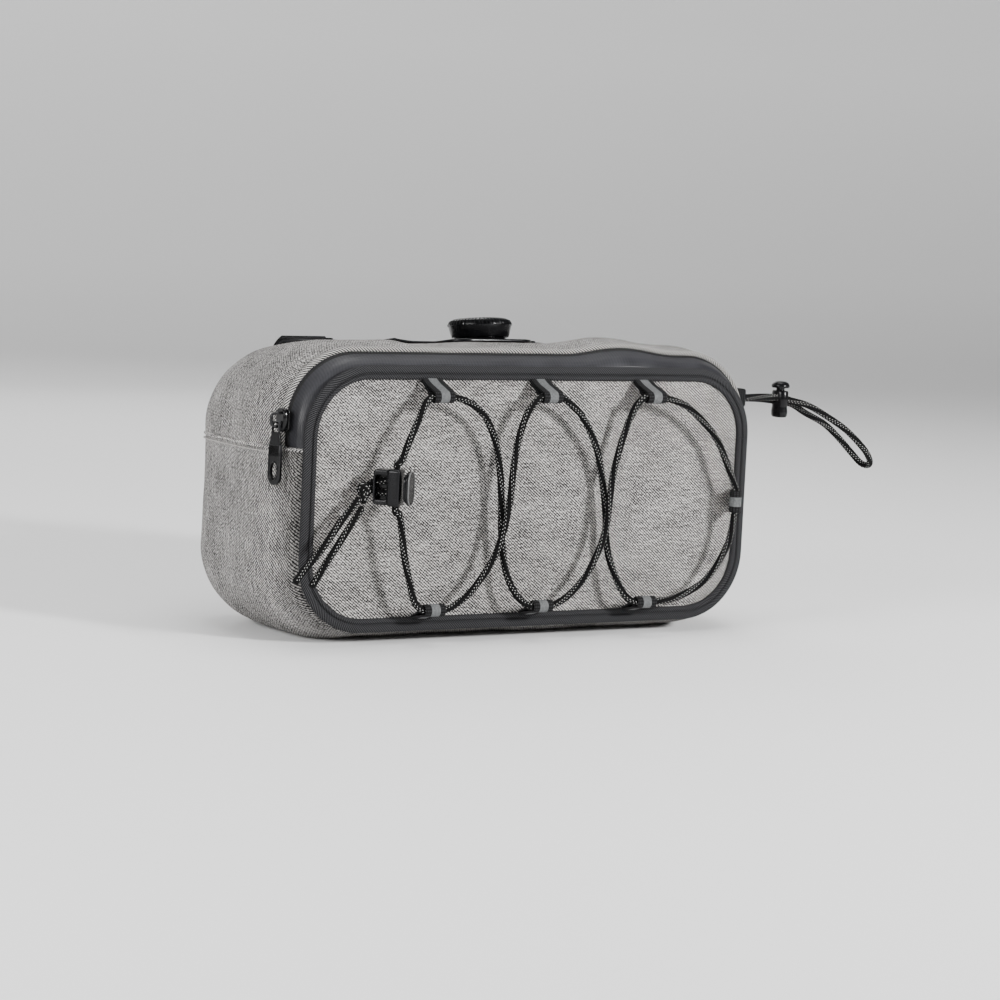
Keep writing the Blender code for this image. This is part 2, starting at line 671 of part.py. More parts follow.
def lock_frame():
    """The front lock's own frame: its X runs from the end beside the knot to the button."""
    return pivot("front_lock", placed(LOCK_FOOT), Matrix.Rotation(-LOCK_TURN, 4, "Z"))


def make_front_lock():
    """A box with a window where the two strands show, a channel that they enter, and a push button."""
    frame = lock_frame()
    body = box(
        "front_lock_body",
        (0, -LOCK_DEPTH / 2, -LOCK_HEIGHT / 2),
        (LOCK_LENGTH, LOCK_DEPTH / 2, LOCK_HEIGHT / 2),
        PLASTIC,
        bevel=0.0011,
        parent=frame,
    )
    reach = CORD_RADIUS + CORD_PLAY
    past = 0.002
    half = WINDOW_HEIGHT / 2
    window = [(-past, -half), (WINDOW_LENGTH, -half), (WINDOW_LENGTH, half), (-past, half)]
    cut = outline_prism("window_cut", [window], LOCK_DEPTH / 2 + reach + past, PLASTIC, frame)
    bpy.context.view_layer.update()
    front = -(LOCK_DEPTH / 2 + past) / 2 + reach / 2
    local = Matrix.Translation((0, front, 0)) @ Matrix.Rotation(math.pi / 2, 4, "X")
    cut.matrix_world = frame.matrix_world @ local
    bpy.context.view_layer.update()
    boolean(body, as_mesh(cut), "DIFFERENCE")
    half = LOCK_INSIDE / 2
    inside = box(
        "inside_cut",
        (WINDOW_LENGTH - past, -reach, -half),
        (LOCK_CHANNEL_AT + reach, reach, half),
        PLASTIC,
        parent=frame,
    )
    boolean(body, inside, "DIFFERENCE")
    channel = box(
        "channel_cut",
        (LOCK_CHANNEL_AT - reach - CORD_PLAY, -reach - 0.0001, -LOCK_HEIGHT),
        (LOCK_CHANNEL_AT + reach - 0.0001, reach + 0.0001, LOCK_HEIGHT),
        PLASTIC,
        parent=frame,
    )
    boolean(body, channel, "DIFFERENCE")
    bore = cylinder("bore_cut", BUTTON_NECK_RADIUS + CLEARANCE, 0.0, 0.006, PLASTIC, frame)
    bore.location = (LOCK_CHANNEL_AT + reach - 0.001, 0, 0)
    bore.rotation_euler = (0, math.pi / 2, 0)
    boolean(body, bore, "DIFFERENCE")
    make_front_button(frame)


def make_front_button(frame):
    """An oval cap on a round neck that slides into the lock's bore."""
    neck_start = LOCK_LENGTH - NECK_SEAT
    cap_start = LOCK_LENGTH + LOCK_TRAVEL + CLEARANCE
    rings = []
    levels = (
        (neck_start, BUTTON_NECK_RADIUS, BUTTON_NECK_RADIUS),
        (cap_start, BUTTON_NECK_RADIUS, BUTTON_NECK_RADIUS),
        (cap_start, BUTTON_DEPTH / 2 - 0.0006, BUTTON_HEIGHT / 2 - 0.0006),
        (cap_start + 0.0006, BUTTON_DEPTH / 2, BUTTON_HEIGHT / 2),
        (cap_start + BUTTON_WALL - 0.0005, BUTTON_DEPTH / 2, BUTTON_HEIGHT / 2),
        (cap_start + BUTTON_WALL, BUTTON_DEPTH / 2 - 0.0008, BUTTON_HEIGHT / 2 - 0.0008),
    )
    for x, half_depth, half_height in levels:
        ring = []
        for i in range(ROUND_STEPS):
            angle = 2 * math.pi * i / ROUND_STEPS
            ring.append((x, half_depth * math.cos(angle), half_height * math.sin(angle)))
        rings.append(ring)
    capped_loft("front_lock_button", rings, PLASTIC, frame)


def make_cords():
    """The lace with its knot and tails, and the loop at the side."""
    foot = Vector(LOCK_FOOT)
    along = Vector((math.cos(LOCK_TURN), -math.sin(LOCK_TURN), 0))
    up = Vector((0, 0, 1))
    start = [foot + along * reach + up * height for reach, height in LOCK_STRAND]
    end = [foot + along * reach - up * height for reach, height in reversed(LOCK_STRAND)]
    lace = start + [Vector(p) for p in LACE_ROUTE] + end
    tube("front_cord", route(lace, LACE_POINTS), CORD_RADIUS, CORD)
    shape = bmesh.new()
    bmesh.ops.create_uvsphere(shape, u_segments=12, v_segments=8, radius=KNOT_RADIUS)
    bmesh.ops.scale(shape, vec=KNOT_SHAPE, verts=shape.verts)
    made = from_bmesh("cord_knot", shape, CORD)
    made.location = placed(KNOT_AT)
    tube("cord_tail_upper", route(UPPER_TAIL_ROUTE, TAIL_POINTS), CORD_RADIUS, CORD)
    tube("cord_tail_lower", route(LOWER_TAIL_ROUTE, TAIL_POINTS), CORD_RADIUS, CORD)
    tube("side_cord", route(side_route(), SIDE_POINTS), CORD_RADIUS, CORD)


def make_side_lock():
    """The tab that holds the side cord's ends, and a barrel on the cord with a sprung mushroom button."""
    points = side_route()
    start, out, back = placed(points[0]), placed(points[2]), placed(points[-3])
    x, y, z = (out + back) / 2
    tab_x = start.x - CLEARANCE
    box(
        "side_anchor",
        (tab_x - SIDE_TAB_LENGTH, y - SIDE_TAB_DEPTH / 2, start.z - SIDE_TAB_HEIGHT / 2),
        (tab_x, y + SIDE_TAB_DEPTH / 2, start.z + SIDE_TAB_HEIGHT / 2),
        WEBBING,
        bevel=0.0009,
    )
    frame = pivot("side_lock", (x, y, z))
    top = BARREL_HEIGHT - BARREL_BELOW_CORD
    stretch = BARREL_DEPTH / BARREL_WIDTH
    barrel = cylinder(
        "side_lock_barrel", BARREL_WIDTH / 2, -BARREL_BELOW_CORD, top, PLASTIC, frame, stretch=stretch
    )
    past = BARREL_WIDTH
    half_slot = (back.y - out.y) / 2 + CORD_RADIUS + CLEARANCE
    half_rise = (out.z - back.z) / 2 + CORD_RADIUS + CLEARANCE
    slot = box(
        "slot_cut", (-past, -half_slot, -half_rise), (past, half_slot, half_rise), PLASTIC, parent=frame
    )
    boolean(barrel, slot, "DIFFERENCE")
    neck, foot = SIDE_NECK_RADIUS, top - NECK_SEAT
    recess = cylinder(
        "recess_cut", neck + CLEARANCE, foot - SIDE_TRAVEL - CLEARANCE, top + past, PLASTIC, frame
    )
    boolean(barrel, recess, "DIFFERENCE")
    cap = top + SIDE_TRAVEL + CLEARANCE
    crown = cap + SIDE_BUTTON_HEIGHT
    radius = SIDE_BUTTON_RADIUS
    profile = [(0, crown), (radius * 0.55, crown - 0.0003), (radius * 0.88, crown - 0.0013)]
    profile += [(radius, cap + 0.0010), (radius, cap), (neck, cap), (neck, foot), (0, foot)]
    turned("side_lock_button", profile, PLASTIC, frame, steps=16)


def dial_frame():
    """The tensioner's own frame: its Z leans back with the flat slope of the bag's top."""
    front, back = (FACET[k] * BODY_DEPTH for k in (0, 1))
    drop = section(front)[1] - section(back)[1]
    lean = math.atan2(drop, back - front)
    y = (front + back) / 2
    z = MIDDLE + (section(front)[1] + section(back)[1]) / 2
    normal = Vector((0, math.sin(lean), math.cos(lean)))
    at = Vector((0, y, z)) + normal * CLEARANCE
    return pivot("dial", at, Matrix.Rotation(-lean, 4, "X"))


def make_dial_base(frame, top):
    """A thin flange with a collar, which is bored from above for the hub."""
    outline = rounded_outline(DIAL_BASE_WIDTH / 2, DIAL_BASE_DEPTH / 2, DIAL_BASE_DEPTH * 0.3)
    steps = len(outline)
    circle = []
    for i in range(steps):
        angle = 2 * math.pi * i / steps
        circle.append((math.cos(angle), math.sin(angle)))
    bore = HUB_RADIUS + CLEARANCE
    rings = []
    for shape, scale, z in (
        (circle, bore, top - DIAL_LIFT - HUB_ENGAGED - CLEARANCE),
        (circle, bore, top),
        (circle, COLLAR_RADIUS, top),
        (circle, COLLAR_RADIUS * 1.06, DIAL_BASE_WALL),
        (outline, 0.985, DIAL_BASE_WALL),
        (outline, 1.0, DIAL_BASE_WALL * 0.6),
        (outline, 1.0, 0.0),
    ):
        rings.append([(x * scale, y * scale, z) for x, y in shape])
    capped_loft("dial_base", rings, PLASTIC, frame)


def make_dial():
    """The tensioner: a base with a collar, a hub that pulls up out of it, and a knob that turns on the hub."""
    frame = dial_frame()
    top = DIAL_BASE_WALL + COLLAR_HEIGHT
    make_dial_base(frame, top)
    under = top + CLEARANCE
    flange = under + DIAL_SOCKET - CLEARANCE
    foot = top - DIAL_LIFT - HUB_ENGAGED
    profile = [(0, flange), (HUB_FLANGE_RADIUS, flange), (HUB_FLANGE_RADIUS, flange - HUB_FLANGE_WALL)]
    profile += [(HUB_RADIUS, flange - HUB_FLANGE_WALL), (HUB_RADIUS, foot), (0, foot)]
    turned("dial_hub", profile, PLASTIC, frame)
    make_knob(frame, under)
    make_flap(frame)


def make_knob(frame, under):
    """The knob: a recess round the hub, a plain skirt that widens upwards, a toothed bevel and a low crown."""
    rings = []
    count = DIAL_TEETH * 2
    recess = HUB_FLANGE_RADIUS + CLEARANCE
    levels = (
        # radius, height, how far every other point steps in
        (recess, under + DIAL_SOCKET, 0.0),
        (recess, under, 0.0),
        (DIAL_RADIUS * 0.90, under, 0.0),
        (DIAL_RADIUS * 0.97, under + DIAL_HEIGHT * 0.52, 0.0),
        (DIAL_RADIUS, under + DIAL_HEIGHT * 0.58, DIAL_TOOTH),
        (DIAL_RADIUS * 0.95, under + DIAL_HEIGHT * 0.80, DIAL_TOOTH),
        (DIAL_RADIUS * 0.80, under + DIAL_HEIGHT * 0.93, DIAL_TOOTH),
        (DIAL_RADIUS * 0.74, under + DIAL_HEIGHT * 0.93, 0.0),
        (DIAL_RADIUS * 0.40, under + DIAL_HEIGHT, 0.0),
    )
    for radius, z, depth in levels:
        ring = []
        for i in range(count):
            angle = 2 * math.pi * i / count
            reach = radius - depth * (i % 2)
            ring.append((reach * math.cos(angle), reach * math.sin(angle), z))
        rings.append(ring)
    capped_loft("dial_knob", rings, PLASTIC, frame)


def make_flap(frame):
    """A flat flap of webbing on the bag's top, beside the tensioner's base."""
    side = -DIAL_BASE_WIDTH / 2 - CLEARANCE
    box("top_flap", (side - FLAP_LENGTH, 0.0, 0.0), (side, FLAP_DEPTH, FLAP_WALL), WEBBING, parent=frame)


def make_strap(name, x):
    """A loop of strap behind the back panel, flat against it and round the bar behind."""
    inner = BAR_RADIUS + STRAP_PLAY
    depth = inner * 0.9
    outlines = []
    for grow in (STRAP_WALL, 0.0):
        radius = inner + grow
        outline = [(-grow, -radius), (-grow, radius)]
        for i in range(15):
            angle = math.pi / 2 - math.pi * i / 14
            outline.append((depth + radius * math.cos(angle), radius * math.sin(angle)))
        outlines.append(outline)
    strap = outline_prism(name, outlines, STRAP_WIDTH, WEBBING)
    back = BODY_DEPTH + 2 * CLEARANCE + BACK_PANEL_WALL + STRAP_WALL
    turn = Matrix(((0, 0, 1, 0), (1, 0, 0, 0), (0, 1, 0, 0), (0, 0, 0, 1)))
    strap.matrix_world = Matrix.Translation((x, back, MIDDLE + STRAP_ABOVE_MIDDLE)) @ turn


def move_origin():
    """Brings everything from the front panel's plane to the frame whose origin is the middle of the flat base."""
    bag = pivot("bag", (0, -BASE_Y, 0))
    for made in list(PARTS.objects) + list(CUTTERS.objects):
        if made != bag and made.parent is None:
            made.parent = bag
    bpy.context.view_layer.update()


make_gussets()
make_front_panel()
make_back_panel()
make_zip()
make_loops()
make_front_lock()
make_cords()
make_side_lock()
make_dial()
make_strap("strap_left", -STRAP_SPREAD / 2)
make_strap("strap_right", STRAP_SPREAD / 2)
move_origin()
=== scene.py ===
"""Looks of the handlebar bag: cloth, binding, zip, webbing, cords and hardware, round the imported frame.

Metres, +Z up. The origin is the middle of the bag's flat base, and the laced front faces -Y.
"""

import json
from math import copysign, cos, exp, hypot, pi, radians, sin

import bmesh
import bpy
from mathutils import Matrix, Vector, noise


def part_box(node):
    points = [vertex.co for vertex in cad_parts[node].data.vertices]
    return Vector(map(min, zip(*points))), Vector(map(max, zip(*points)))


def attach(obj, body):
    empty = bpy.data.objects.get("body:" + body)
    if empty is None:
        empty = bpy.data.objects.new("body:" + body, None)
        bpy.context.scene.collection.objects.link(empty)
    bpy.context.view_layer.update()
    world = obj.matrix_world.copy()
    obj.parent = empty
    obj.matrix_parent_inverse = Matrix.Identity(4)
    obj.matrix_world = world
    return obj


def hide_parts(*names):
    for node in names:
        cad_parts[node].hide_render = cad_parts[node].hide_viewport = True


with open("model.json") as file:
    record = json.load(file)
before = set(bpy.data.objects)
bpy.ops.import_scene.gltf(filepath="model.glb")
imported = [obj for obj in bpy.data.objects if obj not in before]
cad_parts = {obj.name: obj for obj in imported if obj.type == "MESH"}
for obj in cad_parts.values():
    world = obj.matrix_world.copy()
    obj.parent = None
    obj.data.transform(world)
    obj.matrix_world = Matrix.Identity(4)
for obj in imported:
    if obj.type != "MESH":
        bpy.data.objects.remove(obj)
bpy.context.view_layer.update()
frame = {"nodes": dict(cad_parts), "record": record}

# The bag's sizes, as in the part
PANEL_WIDTH, PANEL_HEIGHT, PANEL_CORNER = 0.240, 0.120, 0.032
BODY_WIDTH, BODY_DEPTH, BODY_CORNER = 0.260, 0.100, 0.036
TOP_BULGE, BOTTOM_BULGE = 0.0090, 0.0065
CLOTH = 0.0020
GAP = 0.0003
PIPING_WIDTH, PIPING_DEPTH = 0.0048, 0.0028
PANEL_DOME = 0.0022
SEAM_ABOVE_MIDDLE = 0.022
ZIP_BAND_WIDTH, COIL_RADIUS = 0.0070, 0.0013
MIDDLE = PANEL_HEIGHT / 2 + BOTTOM_BULGE
X, Y, Z = Vector((1, 0, 0)), Vector((0, 1, 0)), Vector((0, 0, 1))
FRONT_Y = -0.055
SEAM_Y = PIPING_DEPTH + GAP
ZIP_Y = SEAM_Y + ZIP_BAND_WIDTH + COIL_RADIUS
UPPER_Y = ZIP_Y + COIL_RADIUS + GAP
CORD_RADIUS = 0.0016
LOOP_SPACING = 0.0575
BINDING_WIDTH = 0.0058
BRAID_PITCH = 0.00145
BRAID_STEP = 0.00034
SETTLE_FRAMES = 20
HELD_BY = ("dial_base", "top_flap", "strap_left", "strap_right", "side_anchor", "back_panel")
HELD_BOXES = [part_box(node) for node in HELD_BY]

FULLNESS = (
    # depth, top, side, bottom, as in the part
    (0.00, -0.16, -0.15, -0.22),
    (0.03, -0.16, -0.15, -0.22),
    (0.06, 0.34, 0.20, 0.22),
    (0.12, 0.64, 0.40, 0.46),
    (0.20, 0.86, 0.66, 0.74),
    (0.28, 0.96, 0.86, 0.92),
    (0.38, 1.00, 0.98, 1.00),
    (0.55, 0.74, 1.00, 1.00),
    (0.72, 0.48, 1.00, 1.00),
    (0.82, 0.26, 0.90, 0.80),
    (0.90, -0.06, 0.60, 0.30),
    (0.96, -0.50, 0.08, -0.50),
    (1.00, -0.95, -0.62, -1.40),
)
WAVES = (
    # across, depth, reach across, reach in depth, height as a share of the top's bulge
    (0.40, 0.20, 0.24, 0.34, 0.38),
    (-0.31, 0.33, 0.17, 0.22, -0.34),
    (-0.62, 0.50, 0.30, 0.40, -0.10),
    (0.72, 0.60, 0.24, 0.36, -0.18),
)

# The cords' routes, in millimetres from the panel's middle, as in the part
LACE_ROUTE = (
    (-79.2, -14.2, 19.0), (-75.6, -13.9, 27.5), (-70.6, -13.0, 37.2), (-67.0, -11.8, 43.9),
    (-63.2, -10.9, 47.0), (-57.5, -10.9, 47.5), (-51.9, -10.9, 47.2), (-43.2, -10.5, 44.6),
    (-34.4, -9.8, 38.4), (-27.8, -9.2, 26.6), (-24.6, -9.0, 13.2), (-22.9, -8.6, -0.7),
    (-21.3, -8.0, -19.2), (-18.4, -8.6, -34.0), (-12.6, -10.2, -45.0), (-5.6, -10.9, -49.3),
    (0.0, -10.9, -49.5), (5.6, -10.9, -49.3), (14.2, -10.6, -45.4), (24.1, -10.2, -36.0),
    (31.2, -10.4, -22.5), (34.0, -11.0, -10.7), (34.9, -11.0, 1.0), (37.2, -10.2, 15.0),
    (42.8, -9.6, 32.4), (47.0, -10.5, 43.0), (51.8, -10.9, 47.3), (57.5, -10.9, 47.5),
    (63.0, -10.9, 47.2), (77.7, -10.6, 42.2), (93.9, -10.0, 28.4), (103.0, -10.4, 12.1),
    (106.8, -10.9, 3.1), (106.9, -10.9, -2.5), (106.8, -10.9, -8.1), (103.8, -10.2, -24.2),
    (92.7, -9.8, -40.0), (76.0, -10.3, -48.0), (63.0, -10.9, -49.4), (57.5, -10.9, -49.6),
    (51.8, -10.9, -49.4), (45.4, -9.9, -44.4), (39.0, -7.6, -30.6), (36.8, -6.6, -19.0),
    (35.6, -6.4, -6.4), (33.1, -6.6, 7.8), (27.6, -7.8, 24.4), (17.4, -9.8, 39.0),
    (5.6, -10.9, 47.3), (0.0, -10.9, 47.4), (-5.6, -10.9, 47.2), (-12.0, -10.9, 40.6),
    (-16.5, -11.2, 29.3), (-19.2, -12.0, 15.5), (-20.8, -12.6, -0.4), (-23.4, -12.4, -14.2),
    (-28.0, -11.2, -28.0), (-37.6, -10.4, -41.2), (-46.0, -10.7, -47.4), (-51.9, -10.9, -49.4),
    (-57.5, -10.9, -49.6), (-63.3, -10.9, -49.2), (-68.0, -11.5, -45.0), (-71.4, -12.4, -36.0),
    (-75.0, -13.4, -25.0), (-78.6, -14.1, -7.0),
)
UPPER_TAIL_ROUTE = (
    (-96.2, -7.2, 1.4), (-105.6, -8.6, -8.6), (-112.0, -9.8, -16.4), (-118.4, -10.8, -23.4),
    (-124.6, -12.0, -29.4), (-129.4, -13.2, -34.0),
)
LOWER_TAIL_ROUTE = (
    (-95.8, -9.6, -2.4), (-102.4, -9.9, -11.6), (-107.7, -10.4, -19.0), (-112.2, -10.8, -25.2),
    (-116.6, -11.2, -31.4), (-120.4, -11.8, -36.4),
)
SIDE_ROUTE = (
    # across from the body's right side, then as above
    (3.8, 24.4, 44.6), (16.0, 24.4, 45.0), (27.6, 24.4, 44.4), (33.0, 24.0, 43.2),
    (43.1, 22.5, 40.6), (54.0, 20.8, 35.2), (65.6, 19.8, 28.4), (77.2, 20.4, 19.5),
    (83.6, 22.8, 13.4), (86.0, 26.6, 10.2), (84.4, 30.8, 10.8), (79.3, 33.0, 16.3),
    (69.8, 33.0, 24.5), (59.6, 31.5, 31.1), (46.2, 29.3, 36.5), (36.5, 28.2, 41.0),
    (27.6, 27.9, 42.4), (16.0, 27.9, 43.6), (3.8, 27.9, 43.8),
)
LOCK_STRAND = ((-0.9, 1.9), (2.0, 2.3), (5.2, 2.8), (8.2, 4.2), (9.8, 7.0), (10.0, 11.0))
LOCK_FOOT = (-88.0, -6.6, 7.0)
KNOT_AT = (-93.4, -6.6, 4.6)
LOCK_TURN = radians(45)

# The photograph's camera, found from the front panel's outline
CAMERA_AT = Vector((-0.719328, -1.148348 + FRONT_Y, 0.143306 + MIDDLE))
CAMERA_RIGHT = Vector((0.85523999, -0.51608777, 0.04709543))
CAMERA_UP = Vector((0.01511481, 0.11567923, 0.99317162))
CAMERA_LENS = 105.84
SENSOR = 36.0


def placed(point_mm):
    """A route's point, in millimetres from the panel's middle, in the row frame."""
    return Vector(point_mm) / 1000 + Vector((0, FRONT_Y, MIDDLE))


def catmull(points, share):
    """The place at a share of a smooth curve through the points."""
    count = len(points) - 1
    at = min(share * count, count - 1e-9)
    i = int(at)
    t = at - i
    a, b, c, d = (Vector(points[min(max(k, 0), count)]) for k in (i - 1, i, i + 1, i + 2))
    square = (2 * a - 5 * b + 4 * c - d) * t * t
    cube = (3 * b - a - 3 * c + d) * t**3
    return 0.5 * ((2 * b) + (c - a) * t + square + cube)


def runs(places):
    """How far along their path the places lie."""
    made = [0.0]
    for a, b in zip(places, places[1:]):
        made.append(made[-1] + (b - a).length)
    return made


def smooth_path(points, spacing, fine=40):
    """Evenly spaced places along a smooth curve through the points."""
    steps = fine * (len(points) - 1)
    dense = [catmull(points, i / steps) for i in range(steps + 1)]
    run = runs(dense)
    count = max(int(run[-1] / spacing), 2)
    places, k = [], 0
    for i in range(count + 1):
        want = run[-1] * i / count
        while k < steps - 1 and run[k + 1] < want:
            k += 1
        places.append(dense[k].lerp(dense[k + 1], (want - run[k]) / max(run[k + 1] - run[k], 1e-12)))
    return places


def corners(node):
    """A CAD node's low and high corners."""
    low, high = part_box(node)
    return Vector(low), Vector(high)


def lines_along(places, outward, forward):
    """Lines for swept_profile and stitch_lines: each place, two directions and the length run so far."""
    return [(place, outward, forward, run) for place, run in zip(places, runs(places))]


def new_object(name, data):
    """An object for the data, put in the scene."""
    made = bpy.data.objects.new(name, data)
    bpy.context.scene.collection.objects.link(made)
    return made


def make_camera():
    """The photograph's camera."""
    data = bpy.data.cameras.new("camera")
    data.lens = CAMERA_LENS
    data.sensor_width = SENSOR
    camera = new_object("camera", data)
    back = CAMERA_RIGHT.cross(CAMERA_UP)
    turn = Matrix((CAMERA_RIGHT, CAMERA_UP, back)).transposed()
    camera.matrix_world = Matrix.Translation(CAMERA_AT) @ turn.to_4x4()
    bpy.context.scene.camera = camera


class Value:
    """A node's output, which adds, multiplies and so on as a number does."""

    def __init__(self, finish, socket):
        self.finish, self.socket = finish, socket

    def __add__(self, other):
        return self.finish.math("ADD", self, other)

    def __sub__(self, other):
        return self.finish.math("SUBTRACT", self, other)

    def __rsub__(self, other):
        return self.finish.math("SUBTRACT", other, self)

    def __mul__(self, other):
        return self.finish.math("MULTIPLY", self, other)

    def __truediv__(self, other):
        return self.finish.math("DIVIDE", self, other)

    def __pow__(self, other):
        return self.finish.math("POWER", self, other)

    def __abs__(self):
        return self.finish.math("ABSOLUTE", self)


class Finish:
    """A Principled material under construction, with short calls for its nodes."""

    def __init__(self, name, roughness, **fixed):
        self.material = bpy.data.materials.new(name)
        self.material.use_nodes = True
        self.nodes = self.material.node_tree.nodes
        self.links = self.material.node_tree.links
        self.shader = self.nodes["Principled BSDF"]
        self.rough(roughness)
        for socket, value in fixed.items():
            self.feed(self.shader.inputs[socket.replace("_", " ")], value)

    def feed(self, socket, value):
        """Links a socket to a Value, or sets a plain number or colour on it."""
        if isinstance(value, Value):
            self.links.new(value.socket, socket)
        else:
            socket.default_value = value

    def node(self, kind, output, inputs, **settings):
        """A node's output, with the node's inputs fed and its settings made."""
        node = self.nodes.new("ShaderNode" + kind)
        for name, value in settings.items():
            setattr(node, name, value)
        for socket, value in inputs.items():
            self.feed(node.inputs[socket], value)
        return Value(self, node.outputs[output])

    def math(self, operation, a, b=0.0, clamp=False):
        """One arithmetic node."""
        return self.node("Math", 0, {0: a, 1: b}, operation=operation, use_clamp=clamp)

    def wave(self, phase):
        """0 to 1 and back for each whole number of the phase."""
        return self.math("SINE", phase * (2 * pi)) * 0.5 + 0.5

    def parts(self, vector):
        """A vector's three numbers."""
        node = self.nodes.new("ShaderNodeSeparateXYZ")
        self.feed(node.inputs[0], vector)
        return [Value(self, socket) for socket in node.outputs]

    def cloth_place(self):
        """The three numbers of the piece's cloth attribute."""
        return self.parts(self.node("Attribute", "Vector", {}, attribute_name="cloth"))

    def vector(self, x, y):
        """Two numbers as a vector."""
        return self.node("CombineXYZ", 0, {0: x, 1: y})

    def noise(self, vector, scale=1.0, detail=2.0, roughness=0.5):
        inputs = {"Vector": vector, "Scale": scale, "Detail": detail, "Roughness": roughness}
        return self.node("TexNoise", "Fac", inputs)

    def place(self):
        """The place on the piece, in metres."""
        return self.node("TexCoord", "Object", {})

    def ramp(self, value, stops):
        """A colour ramp. Each stop is a position and a grey or a colour."""
        colour = self.node("ValToRGB", 0, {0: value})
        elements = colour.socket.node.color_ramp.elements
        while len(elements) < len(stops):
            elements.new(0.5)
        for element, (at, tone) in zip(elements, stops):
            element.position = at
            element.color = (*(tone if isinstance(tone, tuple) else (tone,) * 3), 1.0)
        return colour

    def mix(self, share, a, b, blend="MIX"):
        return self.node("Mix", 2, {0: share, 6: a, 7: b}, data_type="RGBA", blend_type=blend)

    def colour(self, value):
        self.feed(self.shader.inputs["Base Color"], value)

    def rough(self, value):
        self.feed(self.shader.inputs["Roughness"], value)

    def bump(self, height, strength, distance):
        inputs = {"Strength": strength, "Distance": distance, "Height": height}
        self.feed(self.shader.inputs["Normal"], self.node("Bump", 0, inputs))


def heather(name="heather_weave", shade=1.0, painted_shade_reach=0.0):
    """Warm grey melange cloth: a twill of light and dark yarns, with slubs along the strip.

    The last argument is how far from the front seam the cloth is darkened by painted shade.
    """
    pitch = 0.00106
    cloth = Finish(name, 0.95, Specular_IOR_Level=0.12)
    along, across, _ = cloth.cloth_place()
    slub = cloth.noise(cloth.vector(along / 0.0090, across / 0.00080), 1.0, 2.0, 0.6)
    yarn = cloth.noise(cloth.vector(along / 0.00110, across / 0.00085), 1.0, 1.0, 0.5)
    patch = cloth.noise(cloth.vector(along / 0.024, across / 0.012), 1.0, 3.0, 0.5)
    warp = cloth.wave((along * 0.62 + across * 0.78) / pitch)
    weft = cloth.wave((along * 0.82 - across * 0.57) / pitch)
    dots = warp * (weft * 0.45 + 0.55)
    mixed = (dots - 0.37) * 0.62
    for part, weight in ((yarn, 0.92), (slub, 0.62), (patch, 0.28)):
        mixed = mixed + (part - 0.5) * weight
    tones = [
        (0.18, (0.008, 0.0078, 0.0082)),
        (0.36, (0.040, 0.0385, 0.039)),
        (0.52, (0.155, 0.150, 0.146)),
        (0.68, (0.375, 0.363, 0.350)),
        (0.90, (0.660, 0.642, 0.620)),
    ]
    tones = [(at, tuple(part * shade for part in colour)) for at, colour in tones]
    weave = cloth.ramp(mixed + 0.5, tones)
    # painted shade: the colour darkens towards the front seam, to 0.42 of itself nearest the seam
    if painted_shade_reach:
        painted_seam_shade = cloth.ramp(across / painted_shade_reach, [(0.2, 0.42), (1.0, 1.0)])
        weave = cloth.mix(1.0, weave, painted_seam_shade, "MULTIPLY")
    cloth.colour(weave)
    cloth.bump(dots * 0.9 + yarn * 0.5, 0.5, 0.0003)
    return cloth.material


def binding_twill():
    """Black ribbon woven in a clear diagonal with lighter ridges."""
    pitch = 0.0012
    twill = Finish("binding_twill", 0.8, Specular_IOR_Level=0.12)
    along, across, _ = twill.cloth_place()
    ridge = twill.wave((along + across * -1.0) / pitch)
    speck = twill.noise(twill.place(), 2600.0, 2.0, 0.6)
    tone = ridge * 0.75 + speck * 0.35
    twill.colour(twill.ramp(tone, [(0.30, (0.004, 0.004, 0.0045)), (0.90, (0.050, 0.050, 0.053))]))
    twill.bump(ridge, 0.7, 0.0003)
    return twill.material


def rolled_twill():
    """Coarse light and dark twill, as the cloth looks where it is rolled over."""
    pitch = 0.0016
    roll = Finish("rolled_twill", 0.9, Specular_IOR_Level=0.12)
    along, across, _ = roll.cloth_place()
    ridge = roll.wave((along + across * 1.2) / pitch)
    speck = roll.noise(roll.place(), 1500.0)
    tone = ridge * 0.8 + speck * 0.2
    roll.colour(roll.ramp(tone, [(0.35, (0.010, 0.010, 0.010)), (0.72, (0.52, 0.505, 0.485))]))
    roll.bump(ridge, 0.8, 0.0004)
    return roll.material


def coated_band():
    """Charcoal coated zip tape with faint ribs across it and smears that shine."""
    band = Finish("coated_zip_band", 0.42, Specular_IOR_Level=0.28)
    rib_pitch = 0.0016
    along, _, _ = band.cloth_place()
    rib = band.wave(along / rib_pitch)
    grain = band.noise(band.place(), 900.0, 3.0, 0.6)
    smear = band.noise(band.place(), 70.0, 3.0, 0.55)
    tone = rib * 0.16 + smear * 0.62 + grain * 0.22
    band.colour(band.ramp(tone, [(0.25, (0.010, 0.010, 0.012)), (0.80, (0.034, 0.034, 0.039))]))
    band.rough(band.ramp(smear, [(0.3, 0.34), (0.7, 0.55)]))
    band.bump(rib * 0.6 + grain * 0.4, 0.25, 0.0002)
    return band.material


